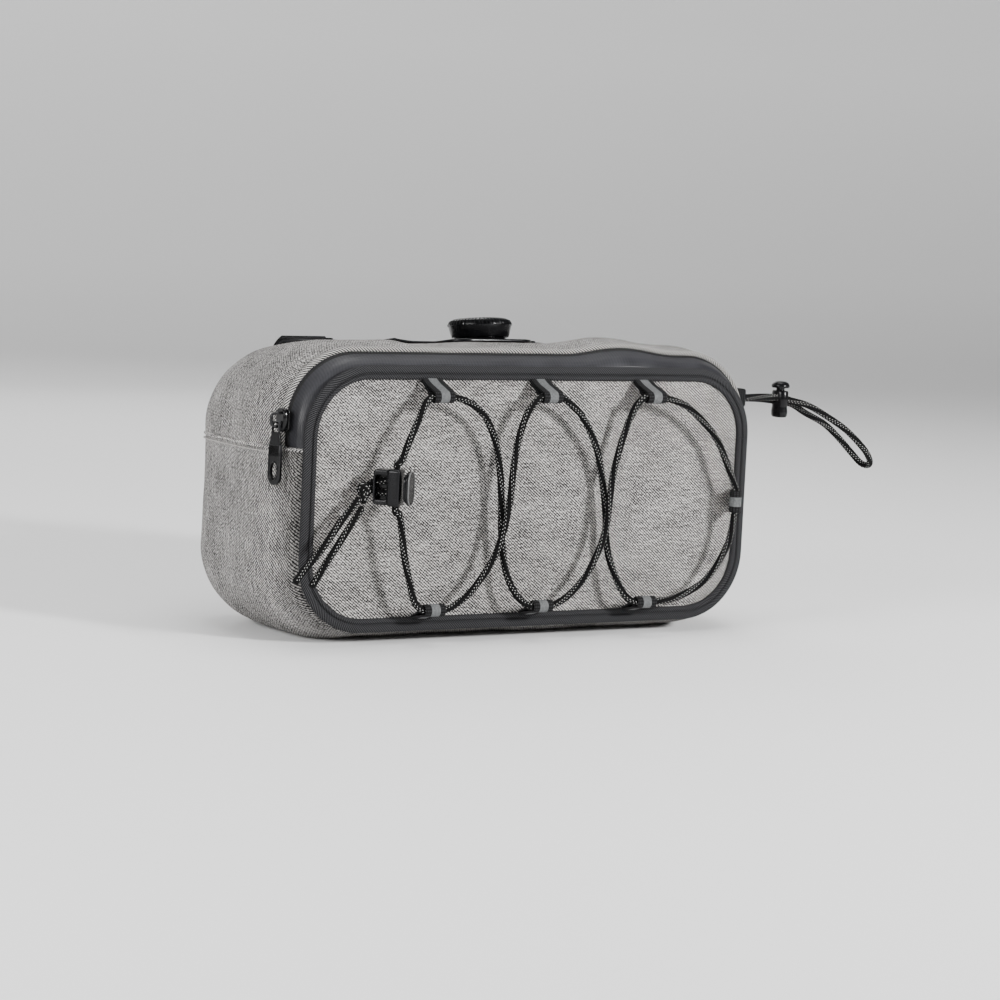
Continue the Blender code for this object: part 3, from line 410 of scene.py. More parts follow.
def webbing(name, half_stripe=0.0):
    """Black ribbed webbing, with a grey reflective stripe down its middle where half_stripe isn't 0."""
    strap = Finish(name, 0.85, Specular_IOR_Level=0.12)
    along, across, _ = strap.cloth_place()
    rib_pitch, warp_pitch, stripe_edge = 0.00125, 0.00090, 0.00015
    rib = strap.wave(along / rib_pitch)
    weave = rib * strap.wave(across / warp_pitch)
    tone = weave * 0.7 + strap.noise(strap.place(), 1500.0) * 0.4
    black = strap.ramp(tone, [(0.15, (0.003, 0.003, 0.003)), (0.95, (0.030, 0.030, 0.032))])
    if half_stripe:
        inside = strap.math("DIVIDE", half_stripe - abs(across), stripe_edge, clamp=True)
        film = strap.noise(strap.place(), 1100.0, 3.0, 0.6)
        film = strap.ramp(film, [(0.35, (0.085, 0.088, 0.090)), (0.7, (0.140, 0.143, 0.145))])
        strap.colour(strap.mix(inside, black, film))
    else:
        strap.colour(black)
    strap.bump(weave * 0.8 + rib * 0.2, 0.5, 0.0002)
    return strap.material


def fleck_row(x, y, lean):
    """Above 0 inside a slanted fleck at the middle of a cell, x along the cord and y round it, in mm."""
    half_length, half_width = 0.38, 0.16
    lean_x, lean_y = cos(radians(lean)), sin(radians(lean))
    run = x * lean_x + y * lean_y
    off = y * lean_x - x * lean_y
    return 1.0 - (abs(run / half_length) ** 2.0 + abs(off / half_width) ** 2.0)


def braid():
    """Black braided elastic cord with pairs of rows of small white flecks that wind slowly round it."""
    pitch, pairs, spread, lean, round_mm = 1.70, 3.0, 0.46, 32.0, 10.05
    turn_length, lay_length, strands = 0.075, 0.0068, 8.0
    cord = Finish("braided_cord", 0.75, Specular_IOR_Level=0.10)
    along, turn_x, turn_y = cord.cloth_place()
    angle = cord.math("ARCTAN2", turn_y, turn_x) / (2 * pi)
    row = cord.math("FRACT", (angle + along / turn_length) * pairs)
    y = (row - 0.5) * (round_mm / pairs)
    cells = along / (pitch / 1000)
    rows = []
    for side, shift in ((1, 0.0), (-1, 0.5)):
        x = (cord.math("FRACT", cells + shift) - 0.5) * pitch
        rows.append(fleck_row(x, y - side * spread, side * lean))
    white = cord.math("MULTIPLY", cord.math("MAXIMUM", *rows), 3.0, clamp=True)
    lay = along / lay_length
    right, left = cord.wave((angle + lay) * strands), cord.wave((angle - lay) * strands)
    braid_height = cord.math("MAXIMUM", right, left)
    black = cord.ramp(braid_height, [(0.40, (0.0006, 0.0006, 0.0006)), (1.0, (0.005, 0.005, 0.0052))])
    cord.colour(cord.mix(white, black, (0.46, 0.46, 0.45, 1.0)))
    cord.bump(braid_height + white * 0.4, 0.8, 0.0003)
    return cord.material


def gloss_plastic(name, roughness):
    """Black moulded plastic with a fine mould grain and rubbed, duller places."""
    tone = (0.0025, 0.0025, 0.003)
    plastic = Finish(name, roughness, Specular_IOR_Level=0.20)
    rub = plastic.noise(plastic.place(), 260.0, 4.0, 0.6)
    grain = plastic.noise(plastic.place(), 2400.0, 2.0, 0.5)
    light = tuple(part * 1.9 + 0.002 for part in tone)
    plastic.colour(plastic.ramp(rub, [(0.35, tone), (0.75, light)]))
    plastic.rough(plastic.ramp(rub, [(0.3, roughness * 0.8), (0.75, roughness * 1.6)]))
    plastic.bump(grain, 0.10, 0.0001)
    return plastic.material


def zip_metal():
    """Gloss black lacquer on die-cast metal, worn thin along its edges."""
    metal = Finish("lacquered_zip_metal", 0.16, Specular_IOR_Level=0.28)
    bend = metal.node("NewGeometry", "Pointiness", {})
    rub = metal.noise(metal.place(), 500.0, 3.0, 0.6)
    edge = metal.math("MULTIPLY", metal.ramp(bend, [(0.53, 0.0), (0.62, 1.0)]), rub, clamp=True)
    metal.colour(metal.mix(edge, (0.002, 0.002, 0.0023, 1.0), (0.060, 0.060, 0.064, 1.0)))
    metal.rough(metal.ramp(rub, [(0.3, 0.12), (0.75, 0.28)]))
    metal.bump(rub, 0.05, 0.0001)
    return metal.material


def thread(name, tone):
    """Sewing thread with its twist."""
    twist_length = 0.00045
    twist = Finish(name, 0.7, Specular_IOR_Level=0.25)
    along, _, _ = twist.cloth_place()
    turn = twist.wave(along / twist_length)
    dark = tuple(part * 0.6 for part in tone)
    twist.colour(twist.ramp(turn, [(0.2, dark), (0.8, tone)]))
    twist.bump(turn, 0.4, 0.0001)
    return twist.material


def hook_tape():
    """The fuzzy half of a hook and loop fastening."""
    tape = Finish("hook_and_loop_tape", 0.95, Specular_IOR_Level=0.1)
    fuzz = tape.noise(tape.place(), 1900.0, 3.0, 0.7)
    tape.colour(tape.ramp(fuzz, [(0.3, (0.003, 0.003, 0.003)), (0.8, (0.030, 0.030, 0.031))]))
    tape.bump(fuzz, 0.9, 0.0004)
    return tape.material


def add_piece(name, mesh, finish, replaces=(), body="root"):
    """Puts a mesh in the scene as a piece that rides on a body."""
    mesh.materials.clear()
    mesh.materials.append(finish)
    piece = new_object(name, mesh)
    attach(piece, body)
    if replaces:
        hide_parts(*replaces)
    return piece


def mark_cloth(mesh, numbers):
    """Stores three numbers for each point as the mesh's cloth attribute."""
    store = mesh.attributes.new("cloth", "FLOAT_VECTOR", "POINT")
    store.data.foreach_set("vector", numbers)


def add_wall(piece, thickness):
    """Gives a sheet a wall, turned inward."""
    skin = piece.modifiers.new("wall", "SOLIDIFY")
    skin.thickness = thickness
    skin.offset = -1.0


def surface(name, rows, coords, closed=False, looped=False, capped=False):
    """A quad mesh through rows of points, smooth, with each point's place in the cloth as an attribute.

    closed joins each row's ends, looped joins the last row to the first, capped fills both end rows.
    """
    count, length = len(rows), len(rows[0])
    points = [tuple(point) for row in rows for point in row]
    faces = []
    for i in range(count if looped else count - 1):
        for j in range(length if closed else length - 1):
            a, b = i * length + j, i * length + (j + 1) % length
            c, d = ((i + 1) % count) * length + (j + 1) % length, ((i + 1) % count) * length + j
            faces.append((a, b, c, d))
    if capped:
        faces.append(tuple(range(length - 1, -1, -1)))
        faces.append(tuple((count - 1) * length + j for j in range(length)))
    mesh = bpy.data.meshes.new(name)
    mesh.from_pydata(points, [], faces)
    shape = bmesh.new()
    shape.from_mesh(mesh)
    bmesh.ops.recalc_face_normals(shape, faces=shape.faces)
    shape.to_mesh(mesh)
    shape.free()
    mesh.shade_smooth()
    mark_cloth(mesh, [part for row in coords for place in row for part in (*place, 0.0)[:3]])
    return mesh


def plate(name, outlines, thickness, bevel, place, finish, slot=None, replaces=(), body="root"):
    """A flat piece with rounded edges: closed outlines, the later ones holes, extruded evenly about z = 0."""
    data = bpy.data.curves.new(name, "CURVE")
    data.dimensions = "2D"
    data.fill_mode = "BOTH"
    data.extrude = max(thickness / 2 - bevel, 0.00001)
    data.bevel_depth = bevel
    data.bevel_resolution = 3
    data.offset = -bevel
    for outline in outlines:
        spline = data.splines.new("POLY")
        spline.points.add(len(outline) - 1)
        for point, (x, y) in zip(spline.points, outline):
            point.co = (x, y, 0.0, 1.0)
        spline.use_cyclic_u = True
    shape = new_object(name, data)
    bpy.context.view_layer.update()
    graph = bpy.context.evaluated_depsgraph_get()
    mesh = bpy.data.meshes.new_from_object(shape.evaluated_get(graph))
    bpy.data.objects.remove(shape)
    bpy.data.curves.remove(data)
    mark_cloth(mesh, [part for vertex in mesh.vertices for part in vertex.co])
    mesh.transform(place)
    mesh.shade_smooth()
    mesh.set_sharp_from_angle(angle=radians(38))
    return add_piece(name, mesh, finish, replaces, body)


def turned(name, profile, place, finish, replaces=(), body="root", steps=96, stretch=1.0):
    """A turned piece about its own z. The profile lists radius, height and how far its teeth cut in."""
    rows, coords = [], []
    for radius, height, step in profile:
        ring = []
        for k in range(steps):
            angle = 2 * pi * k / steps
            reach = radius - step * (k % 4 in (1, 2))
            x, y = reach * cos(angle), reach * stretch * sin(angle)
            ring.append(place @ Vector((x, y, height)))
        rows.append(ring)
        coords.append([(k / steps, height) for k in range(steps)])
    mesh = surface(name, rows, coords, closed=True, capped=True)
    mesh.set_sharp_from_angle(angle=radians(32))
    return add_piece(name, mesh, finish, replaces, body)


def rounded_rectangle(half_width, half_height, corner, steps=8, middle=(0.0, 0.0)):
    """The outline of a rectangle with round corners."""
    points = []
    for quarter, (sx, sy) in enumerate(((1, 1), (-1, 1), (-1, -1), (1, -1))):
        for i in range(steps + 1):
            angle = pi / 2 * (quarter + i / steps)
            x = middle[0] + sx * (half_width - corner) + corner * cos(angle)
            points.append((x, middle[1] + sy * (half_height - corner) + corner * sin(angle)))
    return points


def ribbon(name, path, across, width, wall, finish, replaces=(), looped=False):
    """A strap along a path of places, as wide as width in the direction across."""
    half, edge, count = width / 2, wall * 0.4, 10
    top = [(-half + edge + (width - 2 * edge) * i / count, wall / 2) for i in range(count + 1)]
    low = [(-x, -wall / 2) for x, _ in top]
    outline = top + [(half, wall / 2 - edge), (half, edge - wall / 2)]
    outline += low + [(-half, edge - wall / 2), (-half, wall / 2 - edge)]
    rows, coords, last = [], [], len(path) - 1
    for i, (place, run) in enumerate(zip(path, runs(path))):
        before = path[i - 1] if looped or i else path[0]
        after = path[(i + 1) % len(path)] if looped or i < last else path[last]
        off = across.cross((after - before).normalized()).normalized()
        rows.append([place + across * x + off * lift for x, lift in outline])
        coords.append([(run, x) for x, _ in outline])
    mesh = surface(name, rows, coords, closed=True, looped=looped, capped=not looped)
    mesh.set_sharp_from_angle(angle=radians(50))
    add_piece(name, mesh, finish, replaces)


def frames_along(places, closed=False):
    """Two directions across the path at each place, turning as little as they can."""
    count = len(places)
    directions = []
    for i in range(count):
        before = places[(i - 1) % count] if closed else places[max(i - 1, 0)]
        after = places[(i + 1) % count] if closed else places[min(i + 1, count - 1)]
        directions.append((after - before).normalized())
    side = directions[0].orthogonal().normalized()
    frames = []
    for direction in directions:
        side = (side - direction * side.dot(direction)).normalized()
        frames.append((side, direction.cross(side)))
    return frames


def tube(name, places):
    """A cord along places, bumpy as its braid is. Its cloth attribute holds length and direction round it."""
    radius, sides, swell_by = CORD_RADIUS, 16, 0.05
    frames = frames_along(places)
    rows = [(place, radius, run) for place, run in zip(places, runs(places))]
    start = (places[0] - places[1]).normalized()
    end = (places[-1] - places[-2]).normalized()
    bulge = (places[0] + start * radius * 0.45, radius * 0.55, 0.0)
    tip = (places[-1] + end * radius * 0.45, radius * 0.55, rows[-1][2])
    rows = [bulge] + rows + [tip]
    frames = [frames[0]] + frames + [frames[-1]]
    made, coords = [], []
    for (place, reach, at), (side, up) in zip(rows, frames):
        ring, marks = [], []
        for k in range(sides):
            angle = 2 * pi * k / sides
            swell = cos(2 * pi * at / BRAID_PITCH) * cos(4 * angle)
            full = reach * (1 + swell_by * swell)
            ring.append(place + side * (full * cos(angle)) + up * (full * sin(angle)))
            marks.append((at, cos(angle), sin(angle)))
        made.append(ring)
        coords.append(marks)
    return surface(name, made, coords, closed=True, capped=True)


def make_cords():
    """The lace, its tails and the side cord, along the part's own routes."""
    finish = braid()
    foot = Vector(LOCK_FOOT)
    along = Vector((cos(LOCK_TURN), -sin(LOCK_TURN), 0))
    start = [foot + along * reach + Z * height for reach, height in LOCK_STRAND]
    end = [foot + along * reach - Z * height for reach, height in reversed(LOCK_STRAND)]
    knot = Vector(KNOT_AT)
    lace_points = [knot + Z] + start + [Vector(p) for p in LACE_ROUTE] + end + [knot - Z]
    lace = smooth_path([placed(p) for p in lace_points], BRAID_STEP)
    add_piece("lace", tube("lace", lace), finish, ["front_cord"])

    for name, points in (("tail_upper", UPPER_TAIL_ROUTE), ("tail_lower", LOWER_TAIL_ROUTE)):
        path = smooth_path([placed(p) for p in points], BRAID_STEP)
        mesh = tube(name, path)
        tail = add_piece(name, mesh, finish, [f"cord_{name}"])
        runs(path)[-1]
    beside = Vector((BODY_WIDTH / 2, 0, 0))
    path = smooth_path([placed(p) + beside for p in SIDE_ROUTE], BRAID_STEP)
    mesh = tube("side_loop", path)
    side = add_piece("side_loop", mesh, finish, ["side_cord"])
    runs(path)[-1]
    make_side_lock()
    make_knot(finish)


def make_knot(finish):
    """The knot as a tight trefoil of the same cord."""
    centre = placed(KNOT_AT)
    reach = Vector((0.00062, 0.00088, 0.00135))
    steps = 150
    places = []
    for i in range(steps):
        t = 2 * pi * i / steps
        x = sin(t) + 2 * sin(2 * t)
        z = cos(t) - 2 * cos(2 * t)
        y = -sin(3 * t)
        places.append(centre + Vector((x * reach.x, y * reach.y, z * reach.z)))
    frames = frames_along(places, closed=True)
    rows, coords = [], []
    sides = 14
    angles = [2 * pi * k / sides for k in range(sides)]
    for place, (side, over), run in zip(places, frames, runs(places)):
        rows.append([place + (side * cos(a) + over * sin(a)) * CORD_RADIUS for a in angles])
        coords.append([(run, cos(a), sin(a)) for a in angles])
    mesh = surface("knot", rows, coords, closed=True, capped=True)
    add_piece("knot", mesh, finish, ["cord_knot"])


def fullness(y):
    """Top, side and bottom fullness at a depth behind the panel, smoothed between the table's rows."""
    share = min(max(y / BODY_DEPTH, 0.0), 1.0)
    for i in range(len(FULLNESS) - 1):
        low, high = FULLNESS[i], FULLNESS[i + 1]
        if share > high[0] and i < len(FULLNESS) - 2:
            continue
        width = high[0] - low[0]
        t = (share - low[0]) / width
        values = []
        for k in (1, 2, 3):
            slopes = []
            for row in (i, i + 1):
                before, after = FULLNESS[max(row - 1, 0)], FULLNESS[min(row + 1, len(FULLNESS) - 1)]
                slopes.append((after[k] - before[k]) / (after[0] - before[0]) * width)
            a, b = low[k], high[k]
            h = t * t * (3 - 2 * t)
            values.append(a + (b - a) * h + slopes[0] * t * (1 - t) ** 2 - slopes[1] * t * t * (1 - t))
        return values
    return list(FULLNESS[-1][1:])


def section(y):
    """Half width, reach above and below the middle, and corner radius of the body at a depth."""
    top, side, bottom = fullness(y)
    half_width = PANEL_WIDTH / 2 + side * (BODY_WIDTH - PANEL_WIDTH) / 2
    above = PANEL_HEIGHT / 2 + top * TOP_BULGE
    below = PANEL_HEIGHT / 2 + bottom * BOTTOM_BULGE
    corner = min(PANEL_CORNER + side * (BODY_CORNER - PANEL_CORNER), above - SEAM_ABOVE_MIDDLE - CLOTH)
    return half_width, above, below, corner


def wave(x, y):
    """How far the waves lift the cloth of the upper half at a place."""
    lift = 0.0
    for across, depth, reach_x, reach_y, height in WAVES:
        away_x = (x / (BODY_WIDTH / 2) - across) / reach_x
        away_y = (y / BODY_DEPTH - depth) / reach_y
        near = max(1.0 - away_x**2 - away_y**2, 0.0)
        lift += height * TOP_BULGE * near**2
    return lift


def arch(y, upper, side_steps=8, corner_steps=18, span_steps=36):
    """The body's outline at a depth, from the left seam round to the right: points and lengths along it."""
    half_width, above, below, corner = section(y)
    side = 1.0 if upper else -1.0
    reach = above if upper else below
    start = SEAM_ABOVE_MIDDLE + side * GAP / 2
    turn_at = side * (reach - corner)
    left = [(-half_width, start + (turn_at - start) * i / side_steps) for i in range(side_steps)]
    for i in range(corner_steps + 1):
        angle = pi / 2 * i / corner_steps
        x = -(half_width - corner) - corner * cos(angle)
        left.append((x, side * (reach - corner + corner * sin(angle))))
    left += [(-(half_width - corner) * (1 - i / span_steps), side * reach) for i in range(1, span_steps)]
    flat = left + [(0.0, side * reach)] + [(-x, z) for x, z in reversed(left)]
    points = []
    for x, z in flat:
        share = max(z - SEAM_ABOVE_MIDDLE, 0.0) / (above - SEAM_ABOVE_MIDDLE)
        lift = wave(x, y) * share if upper else 0.0
        points.append(Vector((x, FRONT_Y + y, MIDDLE + z + lift)))
    middle = len(points) // 2
    lengths = [0.0] * len(points)
    for i in range(middle + 1, len(points)):
        lengths[i] = lengths[i - 1] + (points[i] - points[i - 1]).length
    for i in range(middle - 1, -1, -1):
        lengths[i] = lengths[i + 1] - (points[i + 1] - points[i]).length
    return points, lengths


def free_share(place):
    """0 for cloth beside the hardware and the back panel, where it can't move, and 1 well away from them."""
    inner, outer = 0.003, 0.016
    share = 1.0
    for low, high in HELD_BOXES:
        off = [max(low[k] - place[k], 0.0, place[k] - high[k]) for k in range(3)]
        share = min(share, max((hypot(*off) - inner) / (outer - inner), 0.0))
    return share * share * (3 - 2 * share)


def even_steps(start, end, spacing):
    """Evenly spaced numbers from start to end, about spacing apart."""
    count = max(int(round((end - start) / spacing)), 2)
    return [start + (end - start) * i / count for i in range(count + 1)]


def rumpled(rows, coords):
    """Rows of points pushed in and out a little along their normals, none at the rows' edges."""
    height, reach_along, reach_across = 0.0006, 0.034, 0.022
    count, length = len(rows), len(rows[0])
    moved = []
    for i in range(count):
        line = []
        for j in range(length):
            around = rows[i][min(j + 1, length - 1)] - rows[i][max(j - 1, 0)]
            back = rows[min(i + 1, count - 1)][j] - rows[max(i - 1, 0)][j]
            normal = around.cross(back).normalized()
            place = rows[i][j]
            if normal.dot(place - Vector((0, 0, MIDDLE))) < 0:
                normal = -normal
            ease = min(i, count - 1 - i, 4) / 4 * free_share(place)
            x, y = coords[i][j][0] / reach_along, coords[i][j][1] / reach_across
            amount = noise.noise(Vector((x, y, 3.7))) + 0.4 * noise.noise(Vector((x * 2.7, y * 2.7, 9.1)))
            line.append(place + normal * height * ease * amount)
        moved.append(line)
    return moved


def settled(name, rows):
    """How far each point of a strip moves when its cloth, held at its edges, settles with air behind it."""
    pressure, slack, most = 3.0, 0.006, 0.0014
    count, length = len(rows), len(rows[0])
    sheet = new_object(name, surface(name, rows, [[(0.0, 0.0)] * length] * count))
    turn_out(sheet)
    held = sheet.vertex_groups.new(name="held")
    cells = [(i, j) for i in range(count) for j in range(length)]
    edge = [i * length + j for i, j in cells if i in (0, count - 1) or j in (0, length - 1)]
    held.add(edge, 1.0, "REPLACE")
    cloth = sheet.modifiers.new("cloth", "CLOTH")
    for setting, value in (
        ("quality", 6),
        ("mass", 0.25),
        ("tension_stiffness", 12),
        ("compression_stiffness", 12),
        ("shear_stiffness", 4),
        ("bending_stiffness", 0.6),
        ("vertex_group_mass", "held"),
        ("use_pressure", True),
        ("uniform_pressure_force", pressure),
        ("shrink_min", -slack),
    ):
        setattr(cloth.settings, setting, value)
    cloth.settings.effector_weights.gravity = 0.0
    cloth.point_cache.frame_start = 1
    cloth.point_cache.frame_end = SETTLE_FRAMES
    for step in range(1, SETTLE_FRAMES + 1):
        bpy.context.scene.frame_set(step)
    graph = bpy.context.evaluated_depsgraph_get()
    after = [vertex.co.copy() for vertex in sheet.evaluated_get(graph).data.vertices]
    moves = []
    for i in range(count):
        line = []
        for j in range(length):
            move = after[i * length + j] - rows[i][j]
            line.append(move * min(most / max(move.length, 1e-9), 1.0) * free_share(rows[i][j]))
        moves.append(line)
    bpy.data.objects.remove(sheet)
    bpy.context.scene.frame_set(1)
    for _ in range(4):
        moves = evened(moves)
    return moves


def evened(moves):
    """The moves of a strip with each inner one drawn halfway to its four neighbours' middle."""
    made = [list(line) for line in moves]
    for i in range(1, len(moves) - 1):
        for j in range(1, len(moves[0]) - 1):
            around = moves[i - 1][j] + moves[i + 1][j] + moves[i][j - 1] + moves[i][j + 1]
            made[i][j] = moves[i][j] * 0.5 + around * 0.125
    return made


def doubled(values):
    """The values with a smooth halfway one put between each two."""
    made = []
    for i in range(len(values) - 1):
        a, b = values[i], values[i + 1]
        before = values[i - 1] if i else a * 2 - b
        after = values[i + 2] if i + 2 < len(values) else b * 2 - a
        made += [a, (a + b) * 0.5625 - (before + after) * 0.0625]
    return made + [values[-1]]


def settled_strip(name, start, end, upper, cells):
    """The strip's moves, found on every other row and point of the fine strip and filled in between."""
    depths = [start + (end - start) * i / cells for i in range(cells + 1)]
    rows = [arch(y, upper, 4, 9, 18)[0] for y in depths]
    wide = [doubled(line) for line in settled(name, rows)]
    columns = [doubled([line[j] for line in wide]) for j in range(len(wide[0]))]
    return [[column[i] for column in columns] for i in range(len(columns[0]))]


def cloth_strip(name, start, end, upper, finish, node):
    """One gusset, from a front depth to a back depth, settled by simulation, with its wall turned in."""
    cell = 0.0040
    cells = int((end - start) / cell)
    cut_length = arch((start + end) / 2, upper)[1][-1]
    rows, coords = [], []
    for i in range(2 * cells + 1):
        y = start + (end - start) * i / (2 * cells)
        points, lengths = arch(y, upper)
        rows.append(points)
        coords.append([(length * cut_length / lengths[-1], y) for length in lengths])
    moves = settled_strip(f"{name}_settling", start, end, upper, cells)
    rows = [[place + move for place, move in zip(line, shift)] for line, shift in zip(rows, moves)]
    rows = rumpled(rows, coords)
    for line in rows:
        for place in line:
            place.z = max(place.z, 0.0)
    piece = add_piece(name, surface(name, rows, coords), finish, [node])
    turn_out(piece)
    add_wall(piece, CLOTH * 0.9)
    smooth = piece.modifiers.new("smooth", "SUBSURF")
    smooth.levels = smooth.render_levels = 1


def turn_out(piece):
    """Faces the strip's normals away from the bag's middle."""
    shape = bmesh.new()
    shape.from_mesh(piece.data)
    shape.faces.ensure_lookup_table()
    face = shape.faces[len(shape.faces) // 2]
    shape.normal_update()
    if face.normal.dot(face.calc_center_median() - Vector((0, 0, MIDDLE))) < 0:
        bmesh.ops.reverse_faces(shape, faces=shape.faces)
    shape.to_mesh(piece.data)
    shape.free()
    piece.data.shade_smooth()


def swept_profile(name, lines, profile, finish, replaces=(), looped=False):
    """A closed profile swept along lines of (place, outward, forward, length).

    The profile lists how far each corner lies outward and forward of the line.
    """
    rows, coords = [], []
    edge = [0.0]
    for (a, b), (c, d) in zip(profile, profile[1:]):
        edge.append(edge[-1] + hypot(c - a, d - b))
    for place, outward, forward, length in lines:
        rows.append([place + outward * a + forward * b for a, b in profile])
        coords.append([(length, at) for at in edge])
    mesh = surface(name, rows, coords, closed=True, looped=looped, capped=not looped)
    add_piece(name, mesh, finish, replaces)


def rounded_profile(points):
    """A closed profile with its corners cut twice over."""
    for _ in range(2):
        cut = []
        for a, b in zip(points, points[1:] + points[:1]):
            cut.append((a[0] * 0.75 + b[0] * 0.25, a[1] * 0.75 + b[1] * 0.25))
            cut.append((a[0] * 0.25 + b[0] * 0.75, a[1] * 0.25 + b[1] * 0.75))
        points = cut
    return points


def panel_outline(inset):
    """The panel's outline, moved in by inset: points (x, z) round it, with outward directions."""
    steps, straight = 20, 30
    half_w, half_h, corner = PANEL_WIDTH / 2 - inset, PANEL_HEIGHT / 2 - inset, PANEL_CORNER - inset
    made = []
    quarters = ((1, 1), (-1, 1), (-1, -1), (1, -1))
    for quarter, (sx, sz) in enumerate(quarters):
        centre = (sx * (half_w - corner), sz * (half_h - corner))
        for i in range(steps + 1):
            angle = pi / 2 * (quarter + i / steps)
            out = (cos(angle), sin(angle))
            made.append((centre[0] + corner * out[0], centre[1] + corner * out[1], out[0], out[1]))
        nx, nz = quarters[(quarter + 1) % 4]
        after = (nx * (half_w - corner), nz * (half_h - corner))
        x, z, out_x, out_z = made[-1]
        angle = pi / 2 * (quarter + 1)
        target = (after[0] + corner * cos(angle), after[1] + corner * sin(angle))
        for i in range(1, straight):
            t = i / straight
            made.append((x + (target[0] - x) * t, z + (target[1] - z) * t, out_x, out_z))
    return made


def panel_lines():
    """The panel's outline as lines for swept_profile, in the row frame."""
    outline = panel_outline(0.0)
    places = [Vector((x, FRONT_Y, MIDDLE + z)) for x, z, _, _ in outline]
    outs = [Vector((out_x, 0, out_z)) for _, _, out_x, out_z in outline]
    return [(place, out, -Y, run) for place, out, run in zip(places, outs, runs(places))]


def make_panel(finish):
    """The front panel: a low dome of slightly uneven cloth inside the binding."""
    inset, rings, unevenness = BINDING_WIDTH - 0.0008, 44, 0.00055
    outline = panel_outline(inset)
    shares = [1.0 - (i / rings) ** 1.25 for i in range(rings)]
    rows, coords = [], []
    for share in shares:
        row, marks = [], []
        for x, z, _, _ in outline:
            px, pz = x * share, z * share
            y = PIPING_DEPTH / 2 - PANEL_DOME * (1 - share**2)
            ease = min((1 - share) / 0.12, 1.0)
            y += unevenness * ease * noise.noise(Vector((px / 0.040, pz / 0.030, 1.3)))
            row.append(Vector((px, FRONT_Y + y, MIDDLE + pz)))
            marks.append((px, pz))
        rows.append(row)
        coords.append(marks)
    mesh = surface("front_cloth", rows, coords, closed=True)
    shape = bmesh.new()
    shape.from_mesh(mesh)
    centre = Vector((0, FRONT_Y, MIDDLE))
    near = 0.03
    rim = [edge for edge in shape.edges if edge.is_boundary and (edge.verts[0].co - centre).length < near]
    bmesh.ops.contextual_create(shape, geom=rim)
    shape.normal_update()
    if sum(face.normal.y for face in shape.faces) > 0:
        bmesh.ops.reverse_faces(shape, faces=shape.faces)
    shape.to_mesh(mesh)
    shape.free()
    mesh.shade_smooth()
    piece = add_piece("front_cloth", mesh, finish, ["front_panel"])
    add_wall(piece, CLOTH * 0.8)


def make_binding():
    """The binding: a ridge along the panel's outline, a groove, and a second ridge over the panel's edge."""
    inner = -BINDING_WIDTH
    profile = rounded_profile([
        # outward of the panel's outline, forward of its plane
        (inner, -0.0022), (inner - 0.0003, -0.0007), (inner + 0.0004, 0.0004), (inner + 0.0018, 0.0006),
        (inner + 0.0022, -0.0005), (inner + 0.0027, -0.0004), (inner + 0.0032, 0.0005), (-0.0008, 0.0003),
        (0.0004, -0.0003), (0.0006, -0.0016), (-0.0002, -0.0030), (-0.0030, -0.0031),
    ])
    swept_profile("binding", panel_lines(), profile, binding_twill(), ["piping"], looped=True)


def stitch_lines(name, lines, pitch, long, radius, proud, finish):
    """A run of stitches: one short bowed tube for each, on a line of (point, outward, forward, length)."""
    count = int(lines[-1][3] / pitch)
    points, faces, marks = [], [], []
    sides, cuts = 5, 4
    k = 0
    for n in range(count):
        ring_start = len(points)
        for cut in range(cuts + 1):
            at = n * pitch + long * cut / cuts
            while k < len(lines) - 2 and lines[k + 1][3] < at:
                k += 1
            a, b = lines[k], lines[k + 1]
            t = min(max((at - a[3]) / max(b[3] - a[3], 1e-9), 0.0), 1.0)
            place = a[0].lerp(b[0], t)
            forward = a[2]
            direction = (b[0] - a[0]).normalized()
            across = direction.cross(forward)
            bow = sin(pi * cut / cuts)
            centre = place + forward * (proud * bow - radius * 0.6)
            for s in range(sides):
                angle = 2 * pi * s / sides
                points.append(centre + (across * cos(angle) + forward * sin(angle)) * radius)
                marks.append((at, s / sides, 0.0))
        for cut in range(cuts):
            for s in range(sides):
                a = ring_start + cut * sides + s
                b = ring_start + cut * sides + (s + 1) % sides
                faces.append((a, b, b + sides, a + sides))
        faces.append(tuple(ring_start + s for s in range(sides - 1, -1, -1)))
        faces.append(tuple(ring_start + cuts * sides + s for s in range(sides)))
        k = max(k - 2, 0)
    mesh = bpy.data.meshes.new(name)
    mesh.from_pydata(points, [], faces)
    mark_cloth(mesh, [part for mark in marks for part in mark])
    mesh.shade_smooth()
    add_piece(name, mesh, finish)


def arch_lines(y, proud=0.0):
    """The upper half's outline at a depth as lines for swept_profile: outward, then forward along -Y."""
    points, lengths = arch(y, True)
    lines = []
    for i, place in enumerate(points):
        direction = (points[min(i + 1, len(points) - 1)] - points[max(i - 1, 0)]).normalized()
        outward = Y.cross(direction).normalized()
        if outward.dot(place - Vector((0, place.y, MIDDLE))) < 0:
            outward = -outward
        lines.append((place + outward * proud, outward, -Y, lengths[i] - lengths[0]))
    return lines


def make_zip_band():
    """The coated zip band between the binding and the cloth's rolled edge."""
    rows, coords = [], []
    start, end, step = SEAM_Y, UPPER_Y + 0.0006, 0.0006
    for y in even_steps(start, end, step):
        share = (y - start) / (end - start)
        sink = -0.0004 - 0.0005 * sin(pi * share)
        lip = 0.0009 * exp(-(((share - 0.12) / 0.05) ** 2))
        rows.append([place + outward * (sink + lip) for place, outward, _, _ in arch_lines(y)])
        coords.append([(length, y) for length in arch(y, True)[1]])
    mesh = surface("zip_band", rows, coords)
    band = add_piece("zip_band", mesh, coated_band(), ["zip_tape", "zip_coil"])
    turn_out(band)
    add_wall(band, 0.0012)


